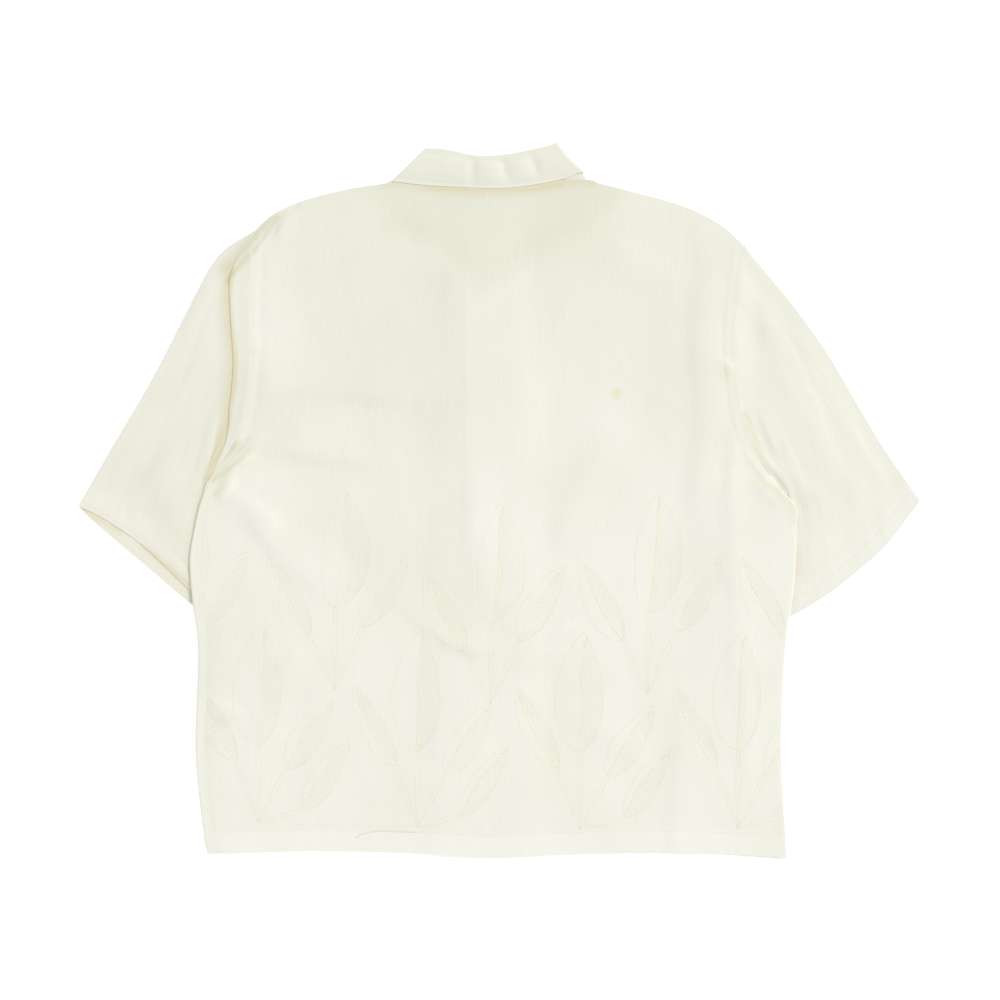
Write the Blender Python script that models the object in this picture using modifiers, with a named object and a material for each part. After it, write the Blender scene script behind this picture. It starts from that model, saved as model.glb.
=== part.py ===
"""A boxy short-sleeved button-up shirt, laid out flat on its front with its back up.

Lengths are millimetres in the tables and become metres as each mesh is made. X runs to the right
of the laid-out shirt, Y towards its collar and Z up, with the surface it lies on at Z = 0.
"""

import math

import bmesh
import bpy
from mathutils import Vector

MM = 0.001
COLLECTION = "button_up_shirt"

# Cloth
WALL = 1.1
GAP = 0.3
PITCH = WALL + GAP  # from one cloth to the cloth that lies on it, middle to middle
BACK_GAP = 0.5
REST = WALL / 2  # height of the middle of a cloth that lies on the surface
BACK_PITCH = WALL + BACK_GAP

# Body
SIDE_STEPS = 9
CENTRE_LINES = (-102, -76, -55, -35, -17, 1, 22, 44, 66, 87)
PLACKET_LEFT = -35
PLACKET_RIGHT = 1
SEAM_IN = 9.5  # how far each side seam lies in from the body's folded edge
SEAM_IN_AT_UNDERARM = 5.0
ARMHOLE_GAP = 0.5
SEAM_TAPER_ROWS = 5  # rows below the underarm over which the side seam narrows
LIFT_REACH = 55
FOLD_FADE = 1.6  # the larger, the shorter the ends over which a fold fades out
HEM_ROWS = 4  # rows over which the hem's curve dies out
TURN_STEPS = 4
SAME_PLACE = 0.02  # points nearer than this are one

# Each row is a section of the body from its left edge to its right one, with the grid steps up to
# the next section and how far the back lies above the fronts at each edge.
SECTIONS = (
    # name, steps, left x, left y, left lift, right x, right y, right lift
    ("hem", 1, -306, -371, 0.8, 303, -376, 0.8),
    ("hem_stitch", 3, -311, -346, 1.2, 301, -346, 1.2),
    ("waist", 4, -319, -262, 1.4, 297, -262, 1.2),
    ("midriff", 2, -316, -157, 1.2, 301, -157, 1.2),
    ("ribs", 2, -322, -105, 1.0, 308, -105, 1.0),
    ("sleeve_corner", 2, -325, -63, 1.0, 312, -63, 1.0),
    ("lap", 2, -321, -34, 1.0, 312, -28, 1.0),
    ("overlap", 2, -314, -3, 1.2, 306, -6, 1.2),
    ("underarm", 3, -303, 22, 1.6, 283, 26, 1.2),
    ("armhole_low", 3, -274, 71, 2.6, 260, 71, 1.4),
    ("armhole", 3, -262, 137, 3.0, 248, 137, 1.6),
    ("armhole_high", 3, -261, 210, 3.0, 249, 210, 1.4),
    ("shoulder_tip", 0, -258, 281, 0.4, 258, 267, 0.4),
)
SHOULDER_LINE = (
    # x, y
    (-258, 281),
    (-237, 300),
    (-206, 315),
    (-159, 327),
    (-120, 333),
    (-102, 337),
    (-8, 335),
    (87, 337),
    (106, 333),
    (141, 324),
    (172, 316),
    (204, 305),
    (235, 288),
    (258, 267),
)
FRONT_NECKLINE = (
    # x, y
    (-102, 337),
    (-76, 280),
    (-55, 251),
    (-35, 230),
    (-17, 222),
    (1, 224),
    (22, 237),
    (44, 255),
    (66, 280),
    (87, 337),
)
HEM_LINE = (
    # x, y
    (-306, -371),
    (-206, -368),
    (-110, -370),
    (-16, -375),
    (62, -372),
    (156, -370),
    (240, -372),
    (303, -376),
)

# What lies under the fronts lifts them, each inside its own rectangle with soft ramps round it.
ZONES = {
    # name: x from, x to, y from, y to, ramp in x, ramp below, ramp above, lift
    "collar": (-128, 102, 172, 420, 45, 45, 30, PITCH),
    "sleeve_corner_left": (-420, -272, -152, 0, 55, 45, 20, 2 * PITCH),
    "sleeve_corner_right": (256, 420, -152, 0, 55, 45, 22, 2 * PITCH),
    "buttons": (-30, -4, -268, 214, 50, 50, 60, 1.8 + GAP),
    "lap": (-420, 7, -420, 420, 36, 1, 1, PITCH),
}
BACK_ZONE_MARGIN = 14
# The back comes down off the lap towards the neck's left side and towards the collar.
LAP_LEFT = -95
LAP_TOP = 260
LAP_RAMP = 45

# Broad soft folds of the back.
BACK_FOLDS = (
    # x, y, turn in degrees, length, width, height
    (-167, 97, 2, 220, 24, 2.4),
    (-198, 32, -5, 180, 22, 2.2),
    (-219, -68, -47, 170, 22, 2.0),
    (182, 126, 90, 330, 22, 2.4),
    (224, 105, 86, 260, 18, 1.8),
    (180, -300, 90, 170, 20, 2.4),
    (-270, -228, 60, 90, 24, 2.0),
    (83, 16, 68, 170, 22, 1.8),
    (-62, -152, -25, 110, 20, 1.6),
    (51, -146, 30, 110, 20, 1.6),
)

# Sleeves
SLEEVE_STATIONS = (0, 0.035, 0.07, 0.1, 0.14, 0.2, 0.29, 0.39, 0.5, 0.61, 0.72, 0.82, 0.91, 1)
LIP_END = 0.07
LIP_FOOT = 0.1
SLEEVE_FOLD_START = 0.1  # share of the sleeve's length over which its folds grow
SLEEVE_FOLD_TOP = 0.15  # share of its depth over which they grow below the outer fold
SLEEVE_FOLD_LOW = 0.2  # share of its depth over which they die out above the underarm
RIM_SHARE = 0.05  # how far in from a turned edge the cloth is looked at to find which way is out
SLEEVE_TURN_STEPS = 3
SLEEVE_LEFT = {
    "outer_fold": (
        (-258, 281), (-283, 268), (-300, 250), (-316, 222), (-363, 130), (-410, 50), (-442, -6),
    ),
    "underarm": ((-303, 22), (-316, 13), (-321, -3), (-320, -21), (-311, -62), (-287, -131)),
    "cuff_upper": ((-442, -6), (-417, -16), (-375, -41), (-323, -85), (-287, -116)),
    "cuff_lower": ((-442, -6), (-425, -23), (-366, -73), (-322, -110), (-287, -131)),
    "folds": ((-330, 130, 62, 160, 16, 1.8), (-360, 30, 50, 130, 16, 1.6)),
}
SLEEVE_RIGHT = {
    "outer_fold": (
        (258, 267), (282, 238), (314, 199), (345, 155), (377, 101), (408, 50), (443, 0),
    ),
    "underarm": ((283, 26), (299, 17), (313, 0), (315, -17), (301, -62), (274, -134)),
    "cuff_upper": ((443, 0), (408, -46), (377, -74), (345, -99), (310, -120), (274, -134)),
    "cuff_lower": ((443, 0), (408, -46), (377, -74), (345, -99), (310, -120), (274, -134)),
    "folds": ((300, 140, 118, 170, 16, 1.8), (352, 40, 125, 130, 16, 1.6)),
}

# Collar: one row for each section from the left point round the back of the neck to the right
# point. The seam is where it is sewn to the body, the fold is its top edge and the edge is the
# free edge of its fall. The side turns from -90 degrees on the fronts to 90 on the back.
COLLAR_SECTIONS = (
    # seam x, seam y, fold x, fold y, edge x, edge y, side in degrees
    (-24, 227, -22, 231, -82, 188, -90),
    (-35, 232, -31, 239, -99, 210, -90),
    (-55, 252, -48, 259, -112, 240, -90),
    (-76, 281, -62, 292, -118, 273, -90),
    (-88, 311, -73, 335, -117, 309, -90),
    (-101, 344, -75, 370, -111, 335, -90),
    (-101, 344, -75, 370, -111, 335, -45),
    (-101, 344, -75, 370, -111, 335, 0),
    (-101, 344, -75, 370, -111, 335, 45),
    (-101, 341, -74, 370, -110, 335, 90),
    (-76, 339, -66, 370, -86, 332, 90),
    (-55, 338, -51, 368, -61, 330, 90),
    (-35, 337, -33, 364, -38, 329, 90),
    (-17, 337, -16, 362, -18, 328, 90),
    (1, 337, 1, 363, 2, 328, 90),
    (22, 337, 21, 366, 26, 330, 90),
    (44, 338, 39, 370, 50, 334, 90),
    (66, 340, 53, 373, 72, 339, 90),
    (83, 343, 57, 374, 86, 343, 90),
    (83, 344, 57, 374, 86, 343, 45),
    (83, 344, 57, 374, 86, 343, 0),
    (83, 344, 57, 374, 86, 343, -45),
    (83, 344, 57, 374, 87, 342, -90),
    (74, 311, 60, 335, 98, 309, -90),
    (66, 281, 52, 292, 103, 273, -90),
    (44, 256, 36, 263, 97, 240, -90),
    (22, 238, 17, 244, 84, 210, -90),
    (0, 225, -2, 229, 66, 186, -90),
)
COLLAR_MIDDLE = (REST + REST + PITCH + BACK_PITCH + PITCH) / 2
STAND_OUT = BACK_PITCH / 2
FALL_OUT = STAND_OUT + PITCH
NECK_MIDDLE = -8  # x of the middle of the back of the neck
STAND_STEPS = 2
FALL_STEPS = 3

# Buttons
BUTTON_X = -17
BUTTON_YS = (203, 111, 19, -73, -165, -257)
BUTTON_RADIUS = 5.7
BUTTON_THICK = 1.8
BUTTON_RIM = 1.2
BUTTON_ROUND = 0.5  # width of its rounded edge
BUTTON_SLOPE = 0.8  # width of the slope from its rim to its dish
BUTTON_DISH = 0.45
BUTTON_SIDES = 20
BUTTON_MERGE = 0.00001  # metres

CREAM = (0.823, 0.807, 0.708)
CLOTH_ROUGHNESS = 0.85
BUTTON_CREAM = (0.71, 0.67, 0.55)
BUTTON_ROUGHNESS = 0.4


def mix(a, b, share):
    return a + (b - a) * share


def ease(share):
    share = min(max(share, 0), 1)
    return share * share * (3 - 2 * share)


def along(table, x):
    """The second column of a table at x, by straight lines between its rows."""
    if x <= table[0][0]:
        return table[0][1]
    for (x0, y0), (x1, y1) in zip(table, table[1:]):
        if x <= x1:
            return mix(y0, y1, (x - x0) / (x1 - x0))
    return table[-1][1]


def through(p0, p1, p2, p3, t):
    """One value of a smooth curve that passes p1 at t = 0 and p2 at t = 1."""
    bend = 2 * p0 - 5 * p1 + 4 * p2 - p3
    twist = 3 * (p1 - p2) + p3 - p0
    return p1 + t / 2 * (p2 - p0 + t * (bend + t * twist))


def smooth_rows(rows, steps):
    """Rows of values made denser, with so many steps after each row, by smooth curves."""
    made = []
    last = len(rows) - 1
    for index in range(last):
        near = [rows[min(max(index + k, 0), last)] for k in (-1, 0, 1, 2)]
        for step in range(steps[index]):
            t = step / steps[index]
            made.append(tuple(through(*values, t) for values in zip(*near)))
    made.append(tuple(rows[last]))
    return made


def on_curve(points, share):
    """A point of a smooth curve through points, at a share of its length from end to end."""
    lengths = [math.dist(a, b) for a, b in zip(points, points[1:])]
    left = share * sum(lengths)
    index = 0
    while index < len(lengths) - 1 and left > lengths[index]:
        left -= lengths[index]
        index += 1
    near = [points[min(max(index + k, 0), len(points) - 1)] for k in (-1, 0, 1, 2)]
    t = left / lengths[index]
    return tuple(through(*values, t) for values in zip(*near))


SECTION_STEPS = [section[1] for section in SECTIONS]
EDGE_ROWS = smooth_rows([section[2:] for section in SECTIONS], SECTION_STEPS)
TOP_ROW = len(EDGE_ROWS) - 1
UNDERARM_ROW = sum(SECTION_STEPS[: [section[0] for section in SECTIONS].index("underarm")])
BACK_COLUMNS = 2 * SIDE_STEPS + len(CENTRE_LINES) - 1


def lift_in(zone, x, y, margin=0):
    x0, x1, y0, y1, ramp_x, ramp_low, ramp_high, lift = ZONES[zone]
    side = max(x0 - margin - x, x - x1 - margin, 0) / ramp_x
    below = max(y0 - margin - y, 0) / ramp_low
    above = max(y - y1 - margin, 0) / ramp_high
    return lift * ease(1 - side) * ease(1 - below) * ease(1 - above)


def fold_height(folds, x, y):
    height = 0
    for fold_x, fold_y, degrees, length, width, top in folds:
        turn = math.radians(degrees)
        down = (x - fold_x) * math.cos(turn) + (y - fold_y) * math.sin(turn)
        across = (y - fold_y) * math.cos(turn) - (x - fold_x) * math.sin(turn)
        window = ease(FOLD_FADE * (1 - abs(down) / (length / 2)))
        height += top * window * math.exp(-((across / width) ** 2))
    return height


def front_left_height(x, y):
    return REST + max(lift_in(zone, x, y) for zone in ("collar", "sleeve_corner_left", "buttons"))


def front_right_height(x, y):
    below = max(lift_in(zone, x, y) for zone in ("collar", "sleeve_corner_right", "buttons"))
    return REST + below + lift_in("lap", x, y)


def back_height(row, x, y):
    left_x, _, left_lift, right_x, _, right_lift = EDGE_ROWS[row]
    zones = ("collar", "sleeve_corner_left", "sleeve_corner_right", "buttons")
    below = max(lift_in(zone, x, y, BACK_ZONE_MARGIN) for zone in zones)
    lap = lift_in("lap", x, y, BACK_ZONE_MARGIN)
    lap *= ease((x - LAP_LEFT) / LAP_RAMP) * ease((LAP_TOP - y) / LAP_RAMP)
    edges = left_lift * ease(1 - (x - left_x) / LIFT_REACH)
    edges += right_lift * ease(1 - (right_x - x) / LIFT_REACH)
    return REST + BACK_PITCH + below + lap + edges + fold_height(BACK_FOLDS, x, y)


def seam_in(row):
    """How far the side seam lies in from the folded edge, narrowing towards the underarm."""
    share = ease((UNDERARM_ROW - 1 - row) / SEAM_TAPER_ROWS)
    return mix(SEAM_IN_AT_UNDERARM, SEAM_IN, share)


def rise(line, neckline, share, x):
    """How far a line, or the neckline between the neck's two sides, lies above its straight chord."""
    chord = mix(line[0][1], line[-1][1], share)
    if neckline and neckline[0][0] <= x <= neckline[-1][0]:
        return along(neckline, x) - chord
    return along(line, mix(line[0][0], line[-1][0], share)) - chord


def body_xy(column, row, left_in, right_in, neckline):
    """Where a column meets a row, with each edge taken in by so much."""
    left_x, left_y, _, right_x, right_y, _ = EDGE_ROWS[row]
    left_x += left_in
    right_x -= right_in
    inner = column - SIDE_STEPS
    last = len(CENTRE_LINES) - 1
    if inner <= 0:
        x = mix(left_x, CENTRE_LINES[0], column / SIDE_STEPS)
    elif inner <= last:
        x = CENTRE_LINES[inner]
    else:
        x = mix(CENTRE_LINES[-1], right_x, (inner - last) / SIDE_STEPS)
    share = (x - left_x) / (right_x - left_x)
    y = mix(left_y, right_y, share)
    if row > UNDERARM_ROW:
        up = (row - UNDERARM_ROW) / (TOP_ROW - UNDERARM_ROW)
        y += rise(SHOULDER_LINE, neckline, share, x) * up
    if row < HEM_ROWS:
        y += rise(HEM_LINE, None, share, x) * (1 - row / HEM_ROWS)
    return x, y


def left_roll(row):
    """Radius of the rolled left edge: half the way from the front's cloth to the back's."""
    left_x, left_y = EDGE_ROWS[row][:2]
    seam_x = left_x + seam_in(row)
    return (back_height(row, seam_x, left_y) - front_left_height(left_x, left_y)) / 2


def right_roll(row):
    right_x, right_y = EDGE_ROWS[row][3:5]
    seam_x = right_x - seam_in(row)
    return (back_height(row, right_x, right_y) - front_right_height(seam_x, right_y)) / 2


def is_side(row):
    """Below the underarm the body's edges are folds, above it they are the armhole seams."""
    return row < UNDERARM_ROW


def back_point(column, row):
    left_in = seam_in(row) + GAP if is_side(row) else ARMHOLE_GAP / 2
    right_in = right_roll(row) + WALL / 2 if is_side(row) else ARMHOLE_GAP / 2
    x, y = body_xy(column, row, left_in, right_in, None)
    return x, y, back_height(row, x, y)


def front_left_point(column, row):
    left_in = left_roll(row) + WALL / 2 if is_side(row) else ARMHOLE_GAP / 2
    x, y = body_xy(column, row, left_in, GAP, FRONT_NECKLINE)
    return x, y, front_left_height(x, y)


def front_right_point(column, row):
    """Its columns start at the placket's left line."""
    right_in = seam_in(row) + GAP if is_side(row) else ARMHOLE_GAP / 2
    first = SIDE_STEPS + CENTRE_LINES.index(PLACKET_LEFT)
    x, y = body_xy(column + first, row, GAP, right_in, FRONT_NECKLINE)
    return x, y, front_right_height(x, y)


def turn_point(column, start, end, radius, outward):
    """The section of a rolled edge: a half turn from the start's height to the end's."""
    if column > TURN_STEPS:
        return end
    angle = math.pi * column / TURN_STEPS
    middle = (start[2] + end[2]) / 2
    x = start[0] + outward * radius * math.sin(angle)
    return x, start[1], middle - (end[2] - start[2]) / 2 * math.cos(angle)


def left_strip_point(column, row):
    """The left front's cloth round the left edge and on to the seam on the back."""
    start = front_left_point(0, row)
    back = back_point(0, row)
    end = (back[0] - GAP, start[1], back[2])
    return turn_point(column, start, end, left_roll(row), -1)


def right_strip_point(column, row):
    """The back's cloth round the right edge and under, on to the seam with the right front."""
    start = back_point(BACK_COLUMNS, row)
    front = front_right_point(BACK_COLUMNS - SIDE_STEPS - CENTRE_LINES.index(PLACKET_LEFT), row)
    end = (front[0] + GAP, start[1], front[2])
    return turn_point(column, start, end, right_roll(row), 1)


def patch(boundary, u, v):
    """A point inside four curves: armhole and cuff by u, outer fold and underarm by v."""
    armhole, cuff, outer, under = boundary
    start, end = armhole(u), cuff(u)
    top, low = outer(v), under(v)
    corners = [armhole(0), armhole(1), cuff(0), cuff(1)]
    point = []
    for axis in (0, 1):
        ruled = mix(start[axis], end[axis], v) + mix(top[axis], low[axis], u)
        near = mix(corners[0][axis], corners[1][axis], u)
        far = mix(corners[2][axis], corners[3][axis], u)
        point.append(ruled - mix(near, far, v))
    return point


def sleeve_layer(sleeve, side, cuff_name, u, v):
    """A point of the upper or lower cloth of a sleeve, in plan."""
    rows = TOP_ROW - UNDERARM_ROW
    first = 0 if side < 0 else 3

    def armhole(share):
        place = TOP_ROW - share * rows
        row = min(int(place), TOP_ROW - 1)
        low, high = EDGE_ROWS[row], EDGE_ROWS[row + 1]
        x = mix(low[first], high[first], place - row) + side * ARMHOLE_GAP / 2
        return x, mix(low[first + 1], high[first + 1], place - row)

    curves = (
        armhole,
        lambda share: on_curve(sleeve[cuff_name], share),
        lambda share: on_curve(sleeve["outer_fold"], share),
        lambda share: on_curve(sleeve["underarm"], share),
    )
    return patch(curves, u, v)


def upper_height(sleeve, side, u, v, x, y):
    """It leaves the armhole at the back's height and drops off a lip to lie on the lower cloth."""
    row = round(TOP_ROW - u * (TOP_ROW - UNDERARM_ROW))
    first = 0 if side < 0 else 3
    seam_x, seam_y = EDGE_ROWS[row][first : first + 2]
    seam = back_height(row, seam_x, seam_y)
    down = ease((v - LIP_END) / (LIP_FOOT - LIP_END)) if side < 0 else ease(v / LIP_FOOT)
    flat = REST + BACK_PITCH
    folds = fold_height(sleeve["folds"], x, y) * ease((v - LIP_FOOT) / SLEEVE_FOLD_START)
    folds *= ease(u / SLEEVE_FOLD_TOP) * ease((1 - u) / SLEEVE_FOLD_LOW)
    return mix(seam, flat, down) + folds


def sleeve_point(sleeve, side, place, station):
    """A point of the flattened tube, with place counting round it from the outer fold."""
    steps = TOP_ROW - UNDERARM_ROW
    v = SLEEVE_STATIONS[station]
    loop = 2 * (steps + SLEEVE_TURN_STEPS)
    place %= loop
    upper = place <= steps
    at_turn = not upper and place < steps + SLEEVE_TURN_STEPS
    lower = steps + SLEEVE_TURN_STEPS <= place <= 2 * steps + SLEEVE_TURN_STEPS
    if upper:
        u = place / steps
    elif lower:
        u = 1 - (place - steps - SLEEVE_TURN_STEPS) / steps
    else:
        u = 1 if at_turn else 0
    over = sleeve_layer(sleeve, side, "cuff_upper", u, v)
    under = sleeve_layer(sleeve, side, "cuff_lower", u, v)
    top = upper_height(sleeve, side, u, v, *over)
    radius = (top - REST) / 2
    if 0 < u < 1:
        return (*over, top) if upper else (*under, REST)
    inner = sleeve_layer(sleeve, side, "cuff_upper", abs(u - RIM_SHARE), v)
    out = Vector((over[0] - inner[0], over[1] - inner[1])).normalized()
    if upper or lower:
        turned = 0 if upper else math.pi
    else:
        first = steps if at_turn else 2 * steps + SLEEVE_TURN_STEPS
        turned = math.pi * (place - first) / SLEEVE_TURN_STEPS
        turned = turned if at_turn else math.pi - turned
    share = (1 - math.cos(turned)) / 2
    reach = radius * math.sin(turned) - (radius + WALL / 2) * min(v / LIP_END, 1)
    x = mix(over[0], under[0], share) + out.x * reach
    y = mix(over[1], under[1], share) + out.y * reach
    return x, y, mix(top, REST, share)


def collar_point(place, section):
    """A point of the collar, with place counting from its seam over the fold to its free edge."""
    seam_x, seam_y, fold_x, fold_y, edge_x, edge_y, side = COLLAR_SECTIONS[section]
    seam, fold, edge = Vector((seam_x, seam_y)), Vector((fold_x, fold_y)), Vector((edge_x, edge_y))
    turn = (FALL_OUT - STAND_OUT) / 2
    up = (fold - (seam + edge) / 2).normalized()
    top = fold - up * (turn + WALL / 2)
    if place <= STAND_STEPS:
        point = seam.lerp(top, place / STAND_STEPS)
        out = STAND_OUT
    elif place < STAND_STEPS + TURN_STEPS:
        angle = math.pi * (place - STAND_STEPS) / TURN_STEPS
        point = top + up * turn * math.sin(angle)
        out = STAND_OUT + turn * (1 - math.cos(angle))
    else:
        point = top.lerp(edge, (place - STAND_STEPS - TURN_STEPS) / FALL_STEPS)
        out = FALL_OUT
    around = math.radians(side)
    outward = -1 if fold.x < NECK_MIDDLE else 1
    crease = Vector((outward, 1)).normalized()
    point = point + crease * out * math.cos(around)
    return point.x, point.y, COLLAR_MIDDLE + out * math.sin(around)


def cloth_grid(mesh, columns, rows, point):
    """A grid whose every corner moves to the point of its column and row."""
    grid = bmesh.ops.create_grid(mesh, x_segments=columns, y_segments=rows, size=1)
    for vert in grid["verts"]:
        column = round((vert.co.x + 1) / 2 * columns)
        row = round((vert.co.y + 1) / 2 * rows)
        vert.co = Vector(point(column, row)) * MM


def make_material(name, colour, roughness):
    material = bpy.data.materials.new(name)
    material.use_nodes = True
    shader = material.node_tree.nodes["Principled BSDF"]
    shader.inputs["Base Color"].default_value = (*colour, 1)
    shader.inputs["Roughness"].default_value = roughness
    shader.inputs["Metallic"].default_value = 0
    return material


def make_object(name, mesh, material, collection):
    """One named object from a bmesh, smooth shaded."""
    data = bpy.data.meshes.new(name)
    bmesh.ops.remove_doubles(mesh, verts=mesh.verts, dist=SAME_PLACE * MM)
    bmesh.ops.recalc_face_normals(mesh, faces=mesh.faces)
    mesh.to_mesh(data)
    mesh.free()
    data.polygons.foreach_set("use_smooth", [True] * len(data.polygons))
    data.materials.append(material)
    obj = bpy.data.objects.new(name, data)
    collection.objects.link(obj)
    return obj


def make_cloth(name, grids, material, collection):
    """A wall of cloth from open grids that meet, given as columns, rows and their point function."""
    mesh = bmesh.new()
    for columns, rows, point in grids:
        cloth_grid(mesh, columns, rows, point)
    obj = make_object(name, mesh, material, collection)
    solid = obj.modifiers.new("wall", "SOLIDIFY")
    solid.thickness = WALL * MM
    solid.offset = 0
    return obj


def make_body(material, collection):
    strip_rows = UNDERARM_ROW - 1
    first = SIDE_STEPS + CENTRE_LINES.index(PLACKET_LEFT)
    last = SIDE_STEPS + CENTRE_LINES.index(PLACKET_RIGHT)
    strip = TURN_STEPS + 1
    back = (BACK_COLUMNS, TOP_ROW, back_point)
    left = (last, TOP_ROW, front_left_point)
    right = (BACK_COLUMNS - first, TOP_ROW, front_right_point)
    make_cloth("back", [back, (strip, strip_rows, right_strip_point)], material, collection)
    make_cloth("front_left", [left, (strip, strip_rows, left_strip_point)], material, collection)
    make_cloth("front_right", [right], material, collection)


def make_sleeves(material, collection):
    around = 2 * (TOP_ROW - UNDERARM_ROW + SLEEVE_TURN_STEPS)
    along_sleeve = len(SLEEVE_STATIONS) - 1
    for name, sleeve, side in (("sleeve_left", SLEEVE_LEFT, -1), ("sleeve_right", SLEEVE_RIGHT, 1)):
        def point(place, station, sleeve=sleeve, side=side):
            return sleeve_point(sleeve, side, place, station)

        make_cloth(name, [(around, along_sleeve, point)], material, collection)


def make_collar(material, collection):
    places = STAND_STEPS + TURN_STEPS + FALL_STEPS
    make_cloth("collar", [(places, len(COLLAR_SECTIONS) - 1, collar_point)], material, collection)


def make_button(number, y, material, collection):
    """A turned disc with a raised rim, its rim down."""
    profile = (
        (0, BUTTON_THICK),
        (BUTTON_RADIUS - BUTTON_ROUND, BUTTON_THICK),
        (BUTTON_RADIUS, BUTTON_THICK / 2),
        (BUTTON_RADIUS - BUTTON_ROUND, 0),
        (BUTTON_RADIUS - BUTTON_RIM, 0),
        (BUTTON_RADIUS - BUTTON_RIM - BUTTON_SLOPE, BUTTON_DISH),
        (0, BUTTON_DISH),
    )
    mesh = bmesh.new()
    verts = [mesh.verts.new((radius * MM, 0, height * MM)) for radius, height in profile]
    for a, b in zip(verts, verts[1:]):
        mesh.edges.new((a, b))
    data = bpy.data.meshes.new(f"button_{number}")
    mesh.to_mesh(data)
    mesh.free()
    data.materials.append(material)
    obj = bpy.data.objects.new(f"button_{number}", data)
    collection.objects.link(obj)
    obj.location = (BUTTON_X * MM, y * MM, 0)
    turned = obj.modifiers.new("turned", "SCREW")
    turned.steps = BUTTON_SIDES
    turned.render_steps = BUTTON_SIDES
    turned.use_merge_vertices = True
    turned.merge_threshold = BUTTON_MERGE
    turned.use_normal_calculate = True
    turned.use_smooth_shade = True


def clear_scene():
    for obj in list(bpy.data.objects):
        bpy.data.objects.remove(obj, do_unlink=True)


def main():
    clear_scene()
    collection = bpy.data.collections.new(COLLECTION)
    bpy.context.scene.collection.children.link(collection)
    cloth = make_material("cream_cloth", CREAM, CLOTH_ROUGHNESS)
    horn = make_material("button_cream", BUTTON_CREAM, BUTTON_ROUGHNESS)
    make_body(cloth, collection)
    make_sleeves(cloth, collection)
    make_collar(cloth, collection)
    for number, y in enumerate(BUTTON_YS, 1):
        make_button(number, y, horn, collection)


main()
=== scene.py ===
"""A boxy short-sleeved shirt in thin slubby cream cloth with leaf embroidery, laid out on its front.

Its cloth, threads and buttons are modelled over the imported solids, in the same frame. Lengths are
millimetres in the tables and functions, and become metres as each mesh is made.
"""

import math

import bmesh
import bpy
import numpy as np
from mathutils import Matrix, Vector
from mathutils.bvhtree import BVHTree


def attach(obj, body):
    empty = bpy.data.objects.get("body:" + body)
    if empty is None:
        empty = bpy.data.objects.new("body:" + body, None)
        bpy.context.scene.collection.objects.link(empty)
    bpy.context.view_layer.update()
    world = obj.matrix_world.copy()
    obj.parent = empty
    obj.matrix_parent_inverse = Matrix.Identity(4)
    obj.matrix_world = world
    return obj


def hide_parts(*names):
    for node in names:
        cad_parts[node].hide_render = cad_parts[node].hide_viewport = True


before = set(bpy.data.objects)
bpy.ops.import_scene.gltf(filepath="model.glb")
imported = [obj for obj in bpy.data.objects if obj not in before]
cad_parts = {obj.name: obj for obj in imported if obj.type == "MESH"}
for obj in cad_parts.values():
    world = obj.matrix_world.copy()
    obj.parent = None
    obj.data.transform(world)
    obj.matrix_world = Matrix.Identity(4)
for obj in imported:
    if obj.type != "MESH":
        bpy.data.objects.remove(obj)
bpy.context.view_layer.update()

MM = 0.001

# Cloth thickness, and the heights at which the cloths lie on each other
CLOTH = 0.7
REST = 0.55
PITCH = 1.4
BACK_PITCH = 1.6

# Sections of the body, as in the solids: steps up to the next, then each edge and the back's lift there
SECTIONS = (
    # name, steps, left x, left y, left lift, right x, right y, right lift
    ("hem", 1, -306, -371, 0.2, 303, -376, 0.2),
    ("hem_stitch", 3, -311, -346, 0.3, 301, -346, 0.3),
    ("waist", 4, -319, -262, 0.4, 297, -262, 0.3),
    ("midriff", 2, -316, -157, 0.4, 301, -157, 0.3),
    ("ribs", 2, -322, -105, 0.2, 308, -105, 0.4),
    ("sleeve_corner", 2, -325, -63, 0.2, 312, -63, 0.5),
    ("lap", 2, -321, -34, 0.3, 312, -28, 0.5),
    ("overlap", 2, -314, -3, 1.2, 312, -6, 0.6),
    ("underarm", 3, -303, 22, 2.4, 283, 26, 0.8),
    ("armhole_low", 3, -274, 71, 4.4, 260, 71, 1.8),
    ("armhole", 3, -262, 137, 5.4, 248, 137, 2.2),
    ("armhole_high", 3, -261, 210, 5.2, 249, 210, 1.8),
    ("shoulder_tip", 0, -258, 281, 0.6, 258, 267, 0.6),
)
SHOULDER_LINE = (
    # x, y
    (-258, 281), (-237, 300), (-206, 315), (-159, 327), (-120, 333), (-102, 337), (-8, 335),
    (87, 337), (106, 333), (141, 324), (172, 316), (204, 305), (235, 288), (258, 267),
)
FRONT_NECKLINE = (
    # x, y
    (-102, 337), (-76, 280), (-55, 251), (-35, 230), (-17, 222),
    (1, 224), (22, 237), (44, 255), (66, 280), (87, 337),
)
HEM_LINE = (
    # x, y
    (-306, -371), (-206, -368), (-110, -370), (-16, -375),
    (62, -372), (156, -370), (240, -372), (303, -376),
)
SIDE_STEPS = 9
CENTRE_LINES = np.array((-102, -76, -55, -35, -17, 1, 22, 44, 66, 87), float)
PLACKET_LEFT_LINE = 3
PLACKET_RIGHT_LINE = 5
SEAM_IN = 9.5
SEAM_IN_AT_UNDERARM = 5.0
ARMHOLE_IN = 0.5
SEAM_TAPER_ROWS = 5
SIDE_FADE_ROWS = 1.5
SEAM_LAP = 3.5
LAP_STEP = 0.75
LAP_TURN = 5
FRONT_EDGE_IN = 0.3
HEM_ROWS = 4
SAME_PLACE = 0.03

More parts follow.
